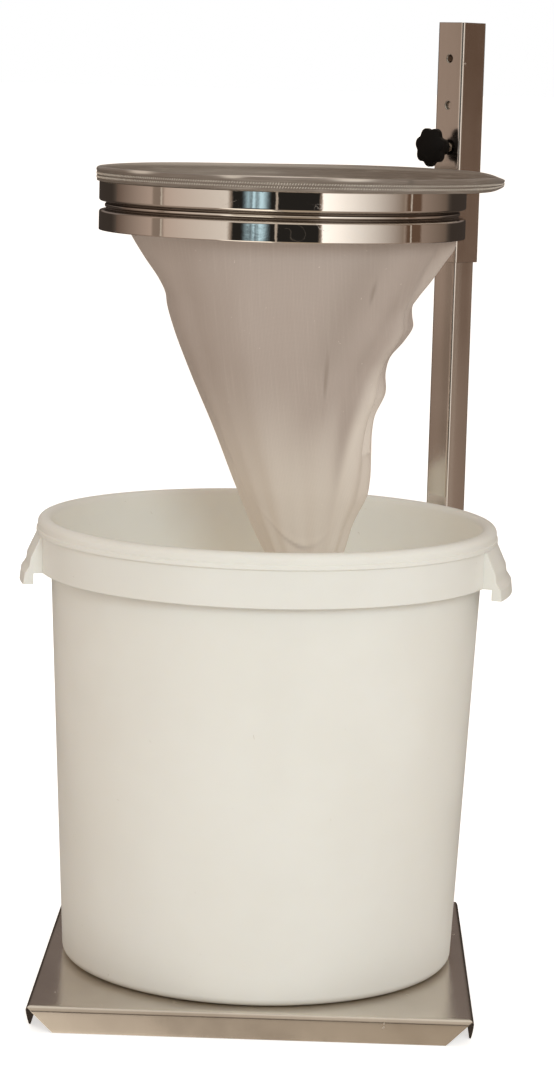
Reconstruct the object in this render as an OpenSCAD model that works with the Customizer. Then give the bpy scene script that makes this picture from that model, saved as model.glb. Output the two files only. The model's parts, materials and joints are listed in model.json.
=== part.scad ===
// Conical strainer holder. A folded tray carries a square post at one corner. A sleeve
// slides on the post, is clamped by a star knob and carries a hoop on an arm. A mesh
// cone hangs in the hoop over a bucket that stands on the tray.
// Millimetres, Z up, origin on the floor under the middle of the tray.

/* [Tray] */
// Side of the square tray
tray_side = 360; // [350:5:420]
// Height of the tray, floor to top
tray_height = 22; // [14:1:35]
// Thickness of the tray's sheet
tray_sheet = 1.5; // [1:0.25:2.5]
// Outside radius of the folded edges
tray_fold = 5; // [3:0.5:8]
// Side of the stiffening plate under the corner that carries the post
stiffener_side = 80; // [60:5:110]
// Thickness of the stiffening plate
stiffener_thick = 4; // [3:0.5:8]

/* [Post] */
// Outside width of the square post
post_side = 25; // [20:1:30]
// Wall of the post
post_wall = 1.5; // [1:0.25:2]
// Outside radius of the post's corners
post_corner = 2.5; // [2.25:0.25:4]
// Height of the post above the tray
post_height = 750; // [700:5:770]
// Distance from the post's axis to each of the tray's two edges beside it
post_inset = 25.5; // [24:0.5:32]
// Leg of the weld bead round the post's foot
post_bead = 3.5; // [2:0.5:5]

/* [Sleeve] */
// Wall of the sleeve
sleeve_wall = 2; // [1.5:0.25:3]
// Play between post and sleeve on each side
sleeve_play = 0.5; // [0.3:0.1:1]
// Outside radius of the sleeve's corners
sleeve_corner = 2.75; // [2.25:0.25:4]
// Length of the sleeve
sleeve_length = 207; // [195:1:260]
// Height of the sleeve's lower end above the tray
sleeve_rest = 585; // [560:5:600]
// Height of the lower spare hole above the sleeve's lower end
spare_height = 136; // [130:1:145]
// Distance between the two spare holes
spare_pitch = 40; // [20:1:45]

/* [Clamp] */
// Thread diameter of the clamp screw and of all three holes
screw_d = 8; // [6:0.5:10]
// Room between the strainer's hem and the knob above it
knob_room = 2.5; // [0.5:0.5:12]
// Radial play of the screw in its hole
screw_play = 0.05; // [0.03:0.01:0.1]
// Gap between the screw's tip and the post
tip_gap = 0.3; // [0.1:0.1:0.4]
// Diameter over the knob's lobes
knob_d = 34; // [30:1:38]
// Number of lobes
knob_lobes = 7; // [5:1:8]
// Diameter of each lobe
lobe_d = 10; // [8:0.5:11]
// Diameter of the knob's round core, between the lobes
core_d = 28.5; // [25:0.5:29]
// Radius of the domed front
dome_r = 37; // [30:1:60]
// Angle by which the knob stands turned
knob_set = 12; // [0:1:60]
// Thickness of the knob's head
knob_head = 9; // [7:1:14]
// Length of the knob's hub, under the head
knob_hub = 13.5; // [10:0.5:20]
// Diameter of the hub's foot
hub_d = 14; // [13:0.5:18]
// Diameter of the hub where it meets the head
hub_top_d = 21; // [18:0.5:24]
// Bare screw between the sleeve and the hub
screw_bare = 3; // [1:0.5:6]

/* [Hoop] */
// Outside diameter of the hoop
hoop_d = 304; // [290:1:310]
// Height of the hoop
hoop_height = 40; // [34:1:50]
// Thickness of the hoop's sheet
hoop_sheet = 1; // [0.8:0.1:1.5]
// Depth of the groove rolled round the hoop
groove_depth = 6; // [5:0.5:8]
// Height of the hoop's lower edge above the sleeve's lower end
hoop_rise = 28; // [24:1:32]
// How far the hoop's centre lies from the tray's centre, toward the post
hoop_offset = 7.5; // [0:0.5:12]
// Height of the flat arm between sleeve and hoop
arm_height = 30; // [24:1:34]
// Thickness of the arm
arm_thick = 5; // [3:0.5:8]
// Leg of the arm's weld beads
arm_bead = 3; // [2:0.5:4]

/* [Strainer] */
// Length of the mouth hem, left to right
hem_long = 336; // [330:1:345]
// Width of the mouth hem, front to back
hem_wide = 316; // [312:1:322]
// Height of the hem
hem_height = 12; // [10:1:18]
// Thickness of the hem
hem_thick = 6; // [5.5:0.5:8]
// Diameter of the wire that keeps the hem open
wire_d = 3; // [2:0.5:3.5]
// How far the hem lies to the right of the hoop's centre
hem_right = 13; // [8:1:14]
// How far the hem lies in front of the hoop's centre
hem_front = 5; // [2:1:7]
// Depth of the mesh cone below the hoop's top
cone_depth = 366; // [330:1:400]
// Thickness of the cone's cloth, as a solid
cloth_thick = 0.8; // [0.6:0.1:1.2]
// Radius of the cone's blunt tip
tip_r = 6; // [4:1:10]
// How far the tip hangs to the right of the hoop's centre
tip_sway = 22; // [0:1:30]
// Depth of the cone's folds
fold_depth = 9; // [0:1:11]

/* [Bucket] */
// Height of the bucket
bucket_height = 374; // [340:1:390]
// Outside diameter of the bucket at its foot
bucket_foot_d = 332; // [315:1:338]
// Outside diameter of the bucket's wall under the rim
bucket_top_d = 362; // [350:1:366]
// Wall of the bucket
bucket_wall = 2.2; // [1.5:0.1:3]
// Radius of the bucket's foot corner
foot_round = 6; // [4:1:12]
// Rise of the bottom inside the ring that the bucket stands on
foot_rise = 5; // [4:0.5:8]
// Width of that ring's flat
foot_ring = 8; // [5:1:20]
// How far the rim's lip stands out from the wall under the rim
lip_reach = 12.5; // [11:0.5:14]
// Height of the lip
lip_height = 13; // [11:1:20]
// How far the skirt under the lip stands back from it
skirt_back = 4; // [3:0.5:5.5]
// Height of the skirt
skirt_height = 31; // [22:1:36]
// Angle that each grip covers
grip_angle = 36; // [20:1:44]
// Angle by which the bucket is turned, as seen from above
bucket_turn = -2; // [-20:1:20]
// Reach of the grips beyond the lip
grip_reach = 13.5; // [10:0.5:18]

/* [Hidden] */
// Seats where one piece stands on another and can be moved off it
seat_gap = 0.3;
// Overrun of every cutting body, so that no cut ends on a face
cut = 1;
$fn = 96;

tray_half = tray_side / 2;
post_at = tray_half - post_inset;
sleeve_side = post_side + 2 * (sleeve_play + sleeve_wall);
sleeve_z = tray_height + sleeve_rest;

// The hoop's centre lies on the tray's diagonal through the post
hoop_r = hoop_d / 2;
hoop_at = hoop_offset / sqrt(2);
hoop_z = sleeve_z + hoop_rise;
hoop_top = hoop_z + hoop_height;
// From the post's axis to the hoop's centre, along the diagonal
hoop_reach = (post_at - hoop_at) * sqrt(2);

// Bends of the hoop's groove: outer shoulder, floor and the bead between the floors
shoulder_bend = 1.5;
floor_bend = 1.1;
bead_bend = 1.5;
groove_lean = 78;
bead_lean = 60;
groove_flank = (groove_depth - (shoulder_bend + floor_bend) * (1 - cos(groove_lean)))
    / sin(groove_lean);
groove_half = (shoulder_bend + floor_bend) * sin(groove_lean) + groove_flank * cos(groove_lean)
    + (floor_bend + bead_bend) * sin(bead_lean);
band_height = hoop_height / 2 - groove_half;

hem_z = hoop_top + seat_gap;
clamp_z = hem_z + hem_height + knob_room + knob_d / 2;
hem_at = [hoop_at + hem_right, hoop_at - hem_front];
// Play of the wire in the hem, and between the hem's legs
hem_gap = 0.2;
hem_slit = 0.6;
// Added to the inside radius of the bends where the hem's legs leave its loop
hem_ease = 0.4;
// Angle between two points on the hem's bends
hem_fine = 36;
hem_cloth = (hem_thick - wire_d) / 2 - hem_gap;
// Points round the hem and the cone
around = 40;
// The cloth leaves the hem a little above its foot and bends over the hoop's edge
web_rise = 2;
edge_round = 1;
// Room between the cone and the hoop's inner face, and between the cone and the hem
hoop_room_r = 6;
hem_room = 1;
cone_top_r = hoop_r - hoop_sheet - hoop_room_r;
// From the hem's outer face in to the web
hem_inset = (hem_thick + hem_slit) / 2 + hem_cloth + hem_gap;
// Shares of the fold depth: two bellies on the slack side, and creases all round
belly_share = 0.6;
ripple_share = 0.25;
crease_share = 0.22;
fine_share = 0.13;
cone_levels = [0, 0.04, 0.1, 0.17, 0.25, 0.33, 0.42, 0.51, 0.6, 0.69, 0.78, 0.88, 1];

bucket_z = tray_height + seat_gap;
lip_d = bucket_top_d + 2 * lip_reach;
skirt_d = lip_d - 2 * skirt_back;
lip_z = bucket_height - lip_height;
skirt_z = lip_z - skirt_height;
wall_lean = atan((bucket_top_d - bucket_foot_d) / 2 / skirt_z);
// The mouth opens by a small step at the lip, where a lid would seal
lip_step = 1;
lip_inner_r = bucket_foot_d / 2 + lip_z * tan(wall_lean) - bucket_wall + lip_step;
lip_round = 4;
skirt_wall = 2;
foot_bend = 3;
foot_slope = 40;
grip_wall = 2.5;
// From the lip's underside down to the grips' lower edge
grip_drop = 40;
// How far the lower part of a grip's end walls stands off the skirt
grip_notch = 7.5;
// Thicker band at a grip's foot, the step above it, and the shoulder where its top starts
grip_band = 12;
grip_step = 4;
grip_step_rise = 2;
grip_shoulder = 30;
grip_draft = 1;
// Overrun of a grip's top over the lip's underside
grip_lap = 0.5;

// A square with round corners, centred
module round_square(side, r) {
    square([side, side - 2 * r], center = true);
    square([side - 2 * r, side], center = true);
    for (x = [-1, 1], y = [-1, 1])
        translate([x * (side / 2 - r), y * (side / 2 - r)]) circle(r);
}

// A square tube standing turned by 45 degrees on the post's axis
module corner_tube(side, wall, corner, length) {
    translate([post_at, post_at, 0]) rotate(45) linear_extrude(length) difference() {
        round_square(side, corner);
        round_square(side - 2 * wall, max(corner - wall, 0.3));
    }
}

// Puts its children on the post's axis with +X pointing at the hoop's centre
module toward_hoop(z) {
    translate([post_at, post_at, z]) rotate(225) children();
}

// Points of a sheet's middle line from point p with heading a. Each step is [length, 0]
// for a straight or [radius, turn] for a bend, which gets a point about every `fine`
// degrees. Each result is [point, heading].
function route(steps, p, a, fine = 13, i = 0) =
    i == len(steps) ? [] :
    let (size = steps[i][0], turn = steps[i][1])
    turn == 0 ?
        let (q = p + size * [cos(a), sin(a)])
        concat([[q, a]], route(steps, q, a, fine, i + 1)) :
    let (side = sign(turn), n = max(2, round(abs(turn) / fine)),
         c = p + side * size * [-sin(a), cos(a)],
         bend = [for (k = [1 : n]) let (h = a + turn * k / n)
             [c + side * size * [sin(h), -cos(h)], h]])
    concat(bend, route(steps, bend[n - 1][0], bend[n - 1][1], fine, i + 1));

// Outline of a sheet of thickness t round a middle line
function sheet_outline(line, t) = concat(
    [for (s = line) s[0] + t / 2 * [sin(s[1]), -cos(s[1])]],
    [for (i = [len(line) - 1 : -1 : 0]) line[i][0] - t / 2 * [sin(line[i][1]), -cos(line[i][1])]]);

// Section of the tray across one direction: flat top with folded edges
module fold_section(inset) {
    half = tray_half - inset;
    r = tray_fold - inset;
    drop = tray_height + (inset > 0 ? cut : 0);
    top = tray_height - inset;
    translate([-half, tray_height - drop]) square([2 * half, top - r - tray_height + drop]);
    translate([-half + r, top - r - cut]) square([2 * (half - r), r + cut]);
    for (x = [-1, 1]) translate([x * (half - r), top - r]) circle(r);
}

// Block with folded top edges on all four sides
module fold_block(inset) {
    intersection_for (a = [0, 90])
        rotate(a) rotate([90, 0, 0])
            linear_extrude(tray_side + 2 * cut, center = true) fold_section(inset);
}

// Open corner between two folded edges, each cut at 45 degrees
module open_corner() {
    deep = tray_height + cut;
    intersection_for (m = [0, 1])
        mirror([m, -m, 0]) translate([tray_half, tray_half + cut, tray_height]) rotate([90, 0, 0])
            linear_extrude(deep + 2 * cut) polygon([[0, 0], [cut, 0], [cut, -deep], [-deep, -deep]]);
}

module base_tray() {
    color("silver") difference() {
        fold_block(0);
        fold_block(tray_sheet);
        for (a = [0 : 90 : 270]) rotate(a) open_corner();
    }
}

module corner_stiffener() {
    edge = tray_half - tray_fold - cut;
    color("silver") translate([edge - stiffener_side, edge - stiffener_side,
        tray_height - tray_sheet - stiffener_thick])
        cube([stiffener_side, stiffener_side, stiffener_thick]);
}

module post() {
    color("silver") translate([0, 0, tray_height])
        corner_tube(post_side, post_wall, post_corner, post_height);
}

// Quarter-round bead that stands or lies along X in the corner of two faces
module bead(leg, length) {
    rotate([0, 90, 0]) intersection() {
        cylinder(h = length, r = leg, center = true);
        translate([-leg, 0, -length / 2]) cube([leg, leg, length]);
    }
}

module post_weld() {
    color("dimgray") translate([post_at, post_at, tray_height])
        for (a = [45 : 90 : 315]) rotate(a) translate([0, post_side / 2, 0])
            bead(post_bead, post_side - 2 * post_corner);
}

// Holes in the sleeve's wall on the side of the hoop
module sleeve_hole(z) {
    toward_hoop(z) translate([sleeve_side / 2 - sleeve_wall - sleeve_play, 0, 0])
        rotate([0, 90, 0]) cylinder(h = sleeve_wall + sleeve_play + cut, d = screw_d);
}

module sleeve() {
    color("silver") difference() {
        translate([0, 0, sleeve_z])
            corner_tube(sleeve_side, sleeve_wall, sleeve_corner, sleeve_length);
        sleeve_hole(clamp_z);
        for (k = [0, 1]) sleeve_hole(sleeve_z + spare_height + k * spare_pitch);
    }
}

// The round space that the hoop fills, cut out of what is welded to it
module hoop_room() {
    translate([hoop_at, hoop_at, hoop_z - cut])
        cylinder(h = hoop_height + 2 * cut, r = hoop_r, $fn = 360);
}

module hoop_arm() {
    color("silver") difference() {
        toward_hoop(hoop_z + (hoop_height - arm_height) / 2)
            translate([sleeve_side / 2, -arm_thick / 2, 0])
                cube([hoop_reach - hoop_r - sleeve_side / 2 + cut, arm_thick, arm_height]);
        hoop_room();
    }
}

// Upright beads in the four corners that the arm makes with sleeve and hoop. On the hoop
// they stop at the groove.
module arm_welds() {
    low = hoop_z + (hoop_height - arm_height) / 2;
    band_run = band_height - (hoop_height - arm_height) / 2;
    color("dimgray") difference() {
        for (side = [-1, 1]) {
            toward_hoop(low) translate([sleeve_side / 2, side * arm_thick / 2, 0])
                upright_bead(arm_height, 1, side);
            for (z = [low, low + arm_height - band_run])
                toward_hoop(z) translate([hoop_reach - hoop_r, side * arm_thick / 2, 0])
                    upright_bead(band_run, -1, side);
        }
        hoop_room();
    }
}

// Quarter-round bead that stands at a corner, on the near or far face along X and on
// either side of it
module upright_bead(length, along, side) {
    intersection() {
        translate([along < 0 ? cut : 0, 0, 0]) cylinder(h = length, r = arm_bead);
        translate([along < 0 ? -arm_bead : 0, side < 0 ? -arm_bead : 0, 0])
            cube([arm_bead + (along < 0 ? cut : 0), arm_bead, length]);
    }
}

// Middle line of the hoop's sheet, from its lower edge up
function hoop_line() =
    let (r = hoop_r - hoop_sheet / 2, start = [r, 0],
         down = [[shoulder_bend, groove_lean], [groove_flank, 0],
                 [floor_bend, -groove_lean - bead_lean], [bead_bend, bead_lean]],
         up = [[bead_bend, bead_lean], [floor_bend, -groove_lean - bead_lean],
               [groove_flank, 0], [shoulder_bend, groove_lean]])
    concat([[start, 90]], route(concat([[band_height, 0]], down, up, [[band_height, 0]]), start, 90));

module hoop() {
    color("gainsboro") translate([hoop_at, hoop_at, hoop_z])
        rotate_extrude($fn = 180) polygon(sheet_outline(hoop_line(), hoop_sheet));
}

// Lobed outline of the knob
module knob_outline() {
    circle(d = core_d);
    for (k = [0 : knob_lobes - 1])
        rotate(k * 360 / knob_lobes + knob_set) translate([(knob_d - lobe_d) / 2, 0]) circle(d = lobe_d);
}

// Along +X from the sleeve's face: bare screw, hub and lobed head with a domed front
module knob_grip() {
    hub_x = sleeve_side / 2 + screw_bare;
    head_x = hub_x + knob_hub;
    color([0.07, 0.07, 0.07]) toward_hoop(clamp_z) difference() {
        union() {
            translate([hub_x, 0, 0]) rotate([0, 90, 0])
                cylinder(h = knob_hub + cut, d1 = hub_d, d2 = hub_top_d);
            intersection() {
                translate([head_x, 0, 0]) rotate([0, 90, 0]) linear_extrude(knob_head) knob_outline();
                translate([head_x + knob_head - dome_r, 0, 0]) sphere(r = dome_r);
            }
        }
        translate([hub_x - cut, 0, 0]) rotate([0, 90, 0])
            cylinder(h = knob_hub + cut, d = screw_d - 2 * screw_play);
    }
}

module clamp_screw() {
    tip_x = post_side / 2 + tip_gap;
    tip_chamfer = 0.8;
    r = screw_d / 2 - screw_play;
    color("gray") toward_hoop(clamp_z) translate([tip_x, 0, 0]) rotate([0, 90, 0]) union() {
        cylinder(h = tip_chamfer, r1 = r - tip_chamfer, r2 = r);
        translate([0, 0, tip_chamfer])
            cylinder(h = sleeve_side / 2 + screw_bare + knob_hub - tip_x - tip_chamfer, r = r);
    }
}

// Points of a closed loop of sections: each row holds the same count of points
function grid_faces(rows, n, closed) = [
    for (i = [0 : rows - (closed ? 1 : 2)], j = [0 : n - 1])
        let (a = i * n + j, b = i * n + (j + 1) % n,
             c = (i + 1) % rows * n + (j + 1) % n, d = (i + 1) % rows * n + j)
        each [[a, b, c], [a, c, d]]];

// Tube along the hem's oval with any section, given anticlockwise as [outward, up]
module hem_sweep(section) {
    n = len(section);
    w = hem_thick / 2;
    pts = [for (i = [0 : around - 1]) let (a = 360 * i / around, u = [cos(a), sin(a)])
        for (s = section)
            [hem_at[0] + (hem_long / 2 - w + s[0]) * u[0], hem_at[1] + (hem_wide / 2 - w + s[0]) * u[1],
             hem_z + s[1]]];
    polyhedron(pts, [for (f = grid_faces(around, n, true)) [f[2], f[1], f[0]]], convexity = 6);
}

// The hem's cloth goes up, round the wire and down again, so its two legs stand side by side
function hem_line() =
    let (leg = (hem_slit + hem_cloth) / 2, neck = hem_cloth / 2 + hem_ease,
         loop = wire_d / 2 + hem_gap + hem_cloth / 2,
         rise = sqrt(pow(loop + neck, 2) - pow(leg + neck, 2)),
         turn = atan2(rise, leg + neck), straight = hem_height - hem_thick / 2 - rise,
         start = [-leg, 0])
    concat([[start, 90]], route([[straight, 0], [neck, turn], [loop, -180 - 2 * turn],
        [neck, turn], [straight, 0]], start, 90, hem_fine));

module strainer_hem() {
    color("tan") hem_sweep(sheet_outline(hem_line(), hem_cloth));
}

module hem_wire() {
    color("silver") hem_sweep([for (a = [0 : 60 : 300])
        [wire_d / 2 * cos(a), hem_height - hem_thick / 2 + wire_d / 2 * sin(a)]]);
}

// Main folds of the hanging cone, from -1 to 1. The left side hangs taut. The slack right
// side bellies out and in again on the way down, and shallow folds run from the mouth
// toward the tip all round.
function fold_wave(a, down) =
    let (slack = pow((1 + cos(a + 10)) / 2, 2))
    slack * (belly_share * cos(360 * (down - 0.12) / 0.56) + ripple_share * cos(360 * (down - 0.12) / 0.2))
        + crease_share * sin(6 * a + 120 * down) + fine_share * sin(9 * a - 160 * down + 60);

// Radius of the cone at a share of its depth, before folding
function cone_r(down) = tip_r + (cone_top_r - tip_r) * (1 - down);

// From the hoop's centre to the web's outer edge, which is an oval, in direction a
function web_reach(a) =
    let (l = hem_long / 2 - hem_inset, w = hem_wide / 2 - hem_inset,
         q = pow(cos(a) / l, 2) + pow(sin(a) / w, 2),
         p = hem_right * cos(a) / pow(l, 2) - hem_front * sin(a) / pow(w, 2),
         s = pow(hem_right / l, 2) + pow(hem_front / w, 2) - 1)
    (p + sqrt(p * p - q * s)) / q;

// One skin of the strainer: the web from the hem over the hoop's edge, then the cone
function skin(inward) = concat(
    [for (j = [0 : around - 1]) let (a = 360 * j / around)
        [hem_at[0] + (hem_long / 2 - hem_inset) * cos(a),
         hem_at[1] + (hem_wide / 2 - hem_inset) * sin(a), hem_z + web_rise + inward]],
    [for (j = [0 : around - 1])
        let (a = 360 * j / around, r = min(cone_top_r + edge_round, web_reach(a) - hem_room) - inward)
        [hoop_at + r * cos(a), hoop_at + r * sin(a), hoop_top + edge_round + inward]],
    [for (down = cone_levels, j = [0 : around - 1])
        let (a = 360 * j / around,
             deep = fold_depth * min(1, 8 * down) * min(1, 2.2 * (1 - down)),
             r = cone_r(down) + deep * fold_wave(a, down) - inward)
        [hoop_at + tip_sway * down + r * cos(a), hoop_at + r * sin(a),
            hoop_top - edge_round - cone_depth * down + (down == 1 ? inward : 0)]]);

module strainer_cone() {
    outer = skin(0);
    inner = skin(cloth_thick);
    rows = len(outer) / around;
    n = len(outer);
    rim = [for (j = [0 : around - 1]) let (k = (j + 1) % around) each [[j, n + k, k], [j, n + j, n + k]]];
    last = (rows - 1) * around;
    cap = [for (j = [1 : around - 2]) [last, last + j, last + j + 1]];
    faces = concat(grid_faces(rows, around, false), cap,
        [for (f = grid_faces(rows, around, false)) [f[2] + n, f[1] + n, f[0] + n]],
        [for (f = cap) [f[2] + n, f[1] + n, f[0] + n]], rim);
    color("wheat") polyhedron(concat(outer, inner), [for (f = faces) [f[2], f[1], f[0]]], convexity = 8);
}

// Middle line of the bucket's foot and wall, from the centre out and up
function bucket_line() =
    let (foot = bucket_foot_d / 2 - bucket_wall / 2, start = [0, foot_rise + bucket_wall / 2],
         bend_top = bucket_wall / 2 + foot_round * (1 - sin(wall_lean)),
         slope = (foot_rise - 2 * foot_bend * (1 - cos(foot_slope))) / sin(foot_slope),
         ramp = 2 * foot_bend * sin(foot_slope) + slope * cos(foot_slope))
    concat([[start, 0]], route([[foot - foot_round - foot_ring - ramp, 0],
        [foot_bend, -foot_slope], [slope, 0], [foot_bend, foot_slope], [foot_ring, 0],
        [foot_round, 90 - wall_lean], [(lip_z + lip_step - bend_top) / cos(wall_lean), 0]],
        start, 0));

// Lip with round top corners, solid as moulded rims look
module lip_section() {
    r = lip_round;
    width = lip_d / 2 - lip_inner_r;
    translate([lip_inner_r, lip_z]) square([width, lip_height - r]);
    translate([lip_inner_r + r, lip_z]) square([width - 2 * r, lip_height]);
    for (x = [lip_inner_r + r, lip_d / 2 - r]) translate([x, bucket_height - r]) circle(r);
}

// Section of a grip: sloping top, outer wall and a lip at its foot. A wall above 0 gives
// the room for the fingers, which is open below and reaches in to the skirt.
module grip_section(wall) {
    foot = lip_z - grip_drop;
    root = lip_d / 2 - cut;
    edge = lip_d / 2 + grip_reach - wall;
    top = lip_z + grip_lap - wall;
    skirt = skirt_d / 2 - skirt_wall / 2;
    notch = skirt_d / 2 + grip_notch;
    polygon(concat(
        wall > 0 ? [[skirt, top], [skirt, foot - cut], [edge, foot - cut]] :
            [[skirt, top], [skirt, skirt_z], [notch, skirt_z], [notch, foot], [edge, foot]],
        [[edge - grip_draft, foot + grip_band - wall],
         [edge - grip_draft - grip_step, foot + grip_band + grip_step_rise - wall],
         [edge - 2 * grip_draft - grip_step, foot + grip_shoulder - wall], [root, top]]));
}

// Ring sector over the angle that a grip covers, less its end walls
module grip_sweep(wall) {
    sweep = grip_angle - 2 * atan(wall / (lip_d / 2));
    rotate(-sweep / 2) rotate_extrude(angle = sweep, $fn = 180) grip_section(wall);
}

module bucket() {
    color("ivory") translate([0, 0, bucket_z]) rotate(bucket_turn) {
        rotate_extrude($fn = 180) {
            polygon(sheet_outline(bucket_line(), bucket_wall));
            lip_section();
            translate([lip_inner_r, lip_z - skirt_wall])
                square([skirt_d / 2 - lip_inner_r, skirt_wall + cut]);
            translate([skirt_d / 2 - skirt_wall, skirt_z]) square([skirt_wall, skirt_height]);
        }
        for (a = [0, 180]) rotate(a) difference() {
            grip_sweep(0);
            grip_sweep(grip_wall);
        }
    }
}

base_tray();
corner_stiffener();
post();
post_weld();
sleeve();
hoop_arm();
arm_welds();
hoop();
knob_grip();
clamp_screw();
strainer_cone();
strainer_hem();
hem_wire();
bucket();
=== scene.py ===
# Looks of the conical strainer holder: steel tray and post, clamped sleeve with its star knob,
# polished hoop, mesh cone with its wired hem, and the white bucket under it.
# Shapes are worked out in millimetres, in the part's own frame, and stored in metres.
import json

import bpy
import numpy as np
from mathutils import Matrix, Vector


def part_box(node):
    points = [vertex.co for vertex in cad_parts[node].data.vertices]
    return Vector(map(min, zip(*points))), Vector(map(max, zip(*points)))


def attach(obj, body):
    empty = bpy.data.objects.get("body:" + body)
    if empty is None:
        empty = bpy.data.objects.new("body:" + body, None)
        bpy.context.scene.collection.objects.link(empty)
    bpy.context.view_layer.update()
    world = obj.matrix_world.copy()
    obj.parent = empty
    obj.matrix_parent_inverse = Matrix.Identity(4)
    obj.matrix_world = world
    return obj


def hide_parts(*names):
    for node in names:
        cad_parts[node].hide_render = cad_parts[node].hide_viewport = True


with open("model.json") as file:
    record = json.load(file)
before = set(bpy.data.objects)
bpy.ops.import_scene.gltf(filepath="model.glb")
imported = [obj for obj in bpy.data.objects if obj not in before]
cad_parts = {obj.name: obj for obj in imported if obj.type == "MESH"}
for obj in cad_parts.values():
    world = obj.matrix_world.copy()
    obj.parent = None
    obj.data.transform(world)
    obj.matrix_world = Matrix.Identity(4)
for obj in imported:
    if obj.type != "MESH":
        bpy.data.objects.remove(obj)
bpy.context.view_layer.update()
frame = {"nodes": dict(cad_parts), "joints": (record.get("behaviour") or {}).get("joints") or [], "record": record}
mm = 0.001
print("frame loaded:", len(frame["nodes"]), "nodes")


# camera and light

camera = {
    "place": (52.4, -2522.4, 761.5),  # mm, the floor is at 0
    "yaw": -1.0,                      # degrees
    "pitch": -8.64,
    "roll": 1.59,
    "focalPixels": 3034.0,
    "photoHeight": 1080,
    "sensor": 36.0,
    "far": 400.0,                     # m
}


def makeCamera():
    yaw, pitch, roll = (np.radians(camera[k]) for k in ("yaw", "pitch", "roll"))
    forward = Vector((np.sin(yaw) * np.cos(pitch), np.cos(yaw) * np.cos(pitch), np.sin(pitch)))
    right = Vector((np.cos(yaw), -np.sin(yaw), 0.0))
    up = right.cross(forward)
    rolledRight = right * np.cos(roll) + up * np.sin(roll)
    rolledUp = up * np.cos(roll) - right * np.sin(roll)
    data = bpy.data.cameras.new("camera")
    data.sensor_width = camera["sensor"]
    data.lens = camera["focalPixels"] * camera["sensor"] / camera["photoHeight"]
    data.clip_end = camera["far"]
    obj = bpy.data.objects.new("camera", data)
    bpy.context.scene.collection.objects.link(obj)
    turn = Matrix((rolledRight, rolledUp, -forward)).transposed().to_4x4()
    obj.matrix_world = Matrix.Translation(Vector(camera["place"]) * mm) @ turn
    bpy.context.scene.camera = obj


def addNode(tree, kind, settings=None, inputs=None):
    # Adds a shader node. A socket given as an input is linked, any other value is set.
    node = tree.nodes.new(kind)
    for key, value in (settings or {}).items():
        setattr(node, key, value)
    for key, value in (inputs or {}).items():
        if isinstance(value, bpy.types.NodeSocket):
            tree.links.new(value, node.inputs[key])
        else:
            node.inputs[key].default_value = value
    return node


def calc(tree, operation, *values, clamp=False):
    # One Math node, and its result.
    return addNode(tree, "ShaderNodeMath", {"operation": operation, "use_clamp": clamp},
                   dict(enumerate(values))).outputs[0]


def fade(tree, value, fromLow, fromHigh, toLow=0.0, toHigh=1.0):
    # Smooth step between two values.
    return addNode(tree, "ShaderNodeMapRange", {"interpolation_type": "SMOOTHSTEP"},
                   {"Value": value, "From Min": fromLow, "From Max": fromHigh,
                    "To Min": toLow, "To Max": toHigh}).outputs["Result"]


def mixColour(tree, share, first, second, blend="MIX"):
    node = addNode(tree, "ShaderNodeMix", {"data_type": "RGBA", "blend_type": blend})
    for socket, value in ((node.inputs[0], share), (node.inputs[6], first), (node.inputs[7], second)):
        if isinstance(value, bpy.types.NodeSocket):
            tree.links.new(value, socket)
        else:
            socket.default_value = value
    return node.outputs[2]


# What polished metal sees around the part. A panel goes from one azimuth to another, counted
# from the camera's side and positive to the right, and between two elevations, in degrees. Its
# colour runs from the first to the second, and its edges are soft over the two widths.
studio = {
    "backdrop": (1.0, 1.0, 1.0, 1),
    "room": (0.30, 0.235, 0.19, 1),
    "dome": (0.70, 0.61, 0.53, 1),       # even soft light on everything matt
    "panels": [
        # from, to, low, high, edge, soft, first colour, second colour
        (120, 240, 8, 90, 14, 4, (0.205, 0.167, 0.15), (0.205, 0.167, 0.15)),
        (120, 240, -90, 8, 14, 4, (0.045, 0.035, 0.029), (0.045, 0.035, 0.029)),
        (-40, -4.5, -90, -11, 2, 4, (1.28, 1.16, 1.02), (1.25, 1.12, 0.95)),
        (-5, 1.5, -90, -11, 2, 4, (0.42, 0.36, 0.30), (0.42, 0.36, 0.30)),
        (1, 34, -90, -11, 2, 4, (0.43, 0.345, 0.255), (0.43, 0.345, 0.255)),
        (-30, 24, 12, 90, 3, 6, (0.62, 0.55, 0.47), (0.62, 0.55, 0.47)),
        (-125, -86, -20, 60, 1.5, 8, (0.10, 0.07, 0.055), (0.32, 0.245, 0.20)),
        (-125, -86, -4.5, 60, 1.5, 1, (0.13, 0.09, 0.07), (0.46, 0.36, 0.30)),
        (-87, -79.5, -20, 60, 1.5, 8, (0.26, 0.20, 0.16), (0.24, 0.185, 0.15)),
        (84, 125, -20, 60, 3, 8, (0.37, 0.285, 0.235), (0.15, 0.11, 0.085)),
        (84, 97, -4.5, 60, 1.5, 1, (0.125, 0.075, 0.05), (0.125, 0.075, 0.05)),
        (-77.5, -32, -16, 50, 1.5, 6, (0.52, 0.41, 0.345), (0.76, 0.69, 0.62)),
        (25.5, 82, -16, 50, 0.8, 6, (1.40, 1.33, 1.25), (0.25, 0.19, 0.15)),
        (-30, 24, -8, 4, 1, 2, (0.02, 0.018, 0.016), (0.02, 0.018, 0.016)),
        (-80.1, -78.9, -20, 50, 0.6, 6, (0.55, 0.48, 0.41), (0.55, 0.48, 0.41)),
        (-3.2, -1.8, -10, 50, 0.5, 4, (0.5, 0.42, 0.35), (0.5, 0.42, 0.35)),
        (87.5, 88.5, -20, 50, 0.5, 6, (0.6, 0.53, 0.46), (0.6, 0.53, 0.46)),
    ],
    "glow": (-15.0, 9.5, -2.5, 1.6, (0.60, 0.84, 0.95)),  # azimuth, width, elevation, height, colour
    "overhead": ((0.90, 0.85, 0.78), 50, 75),
}


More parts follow.
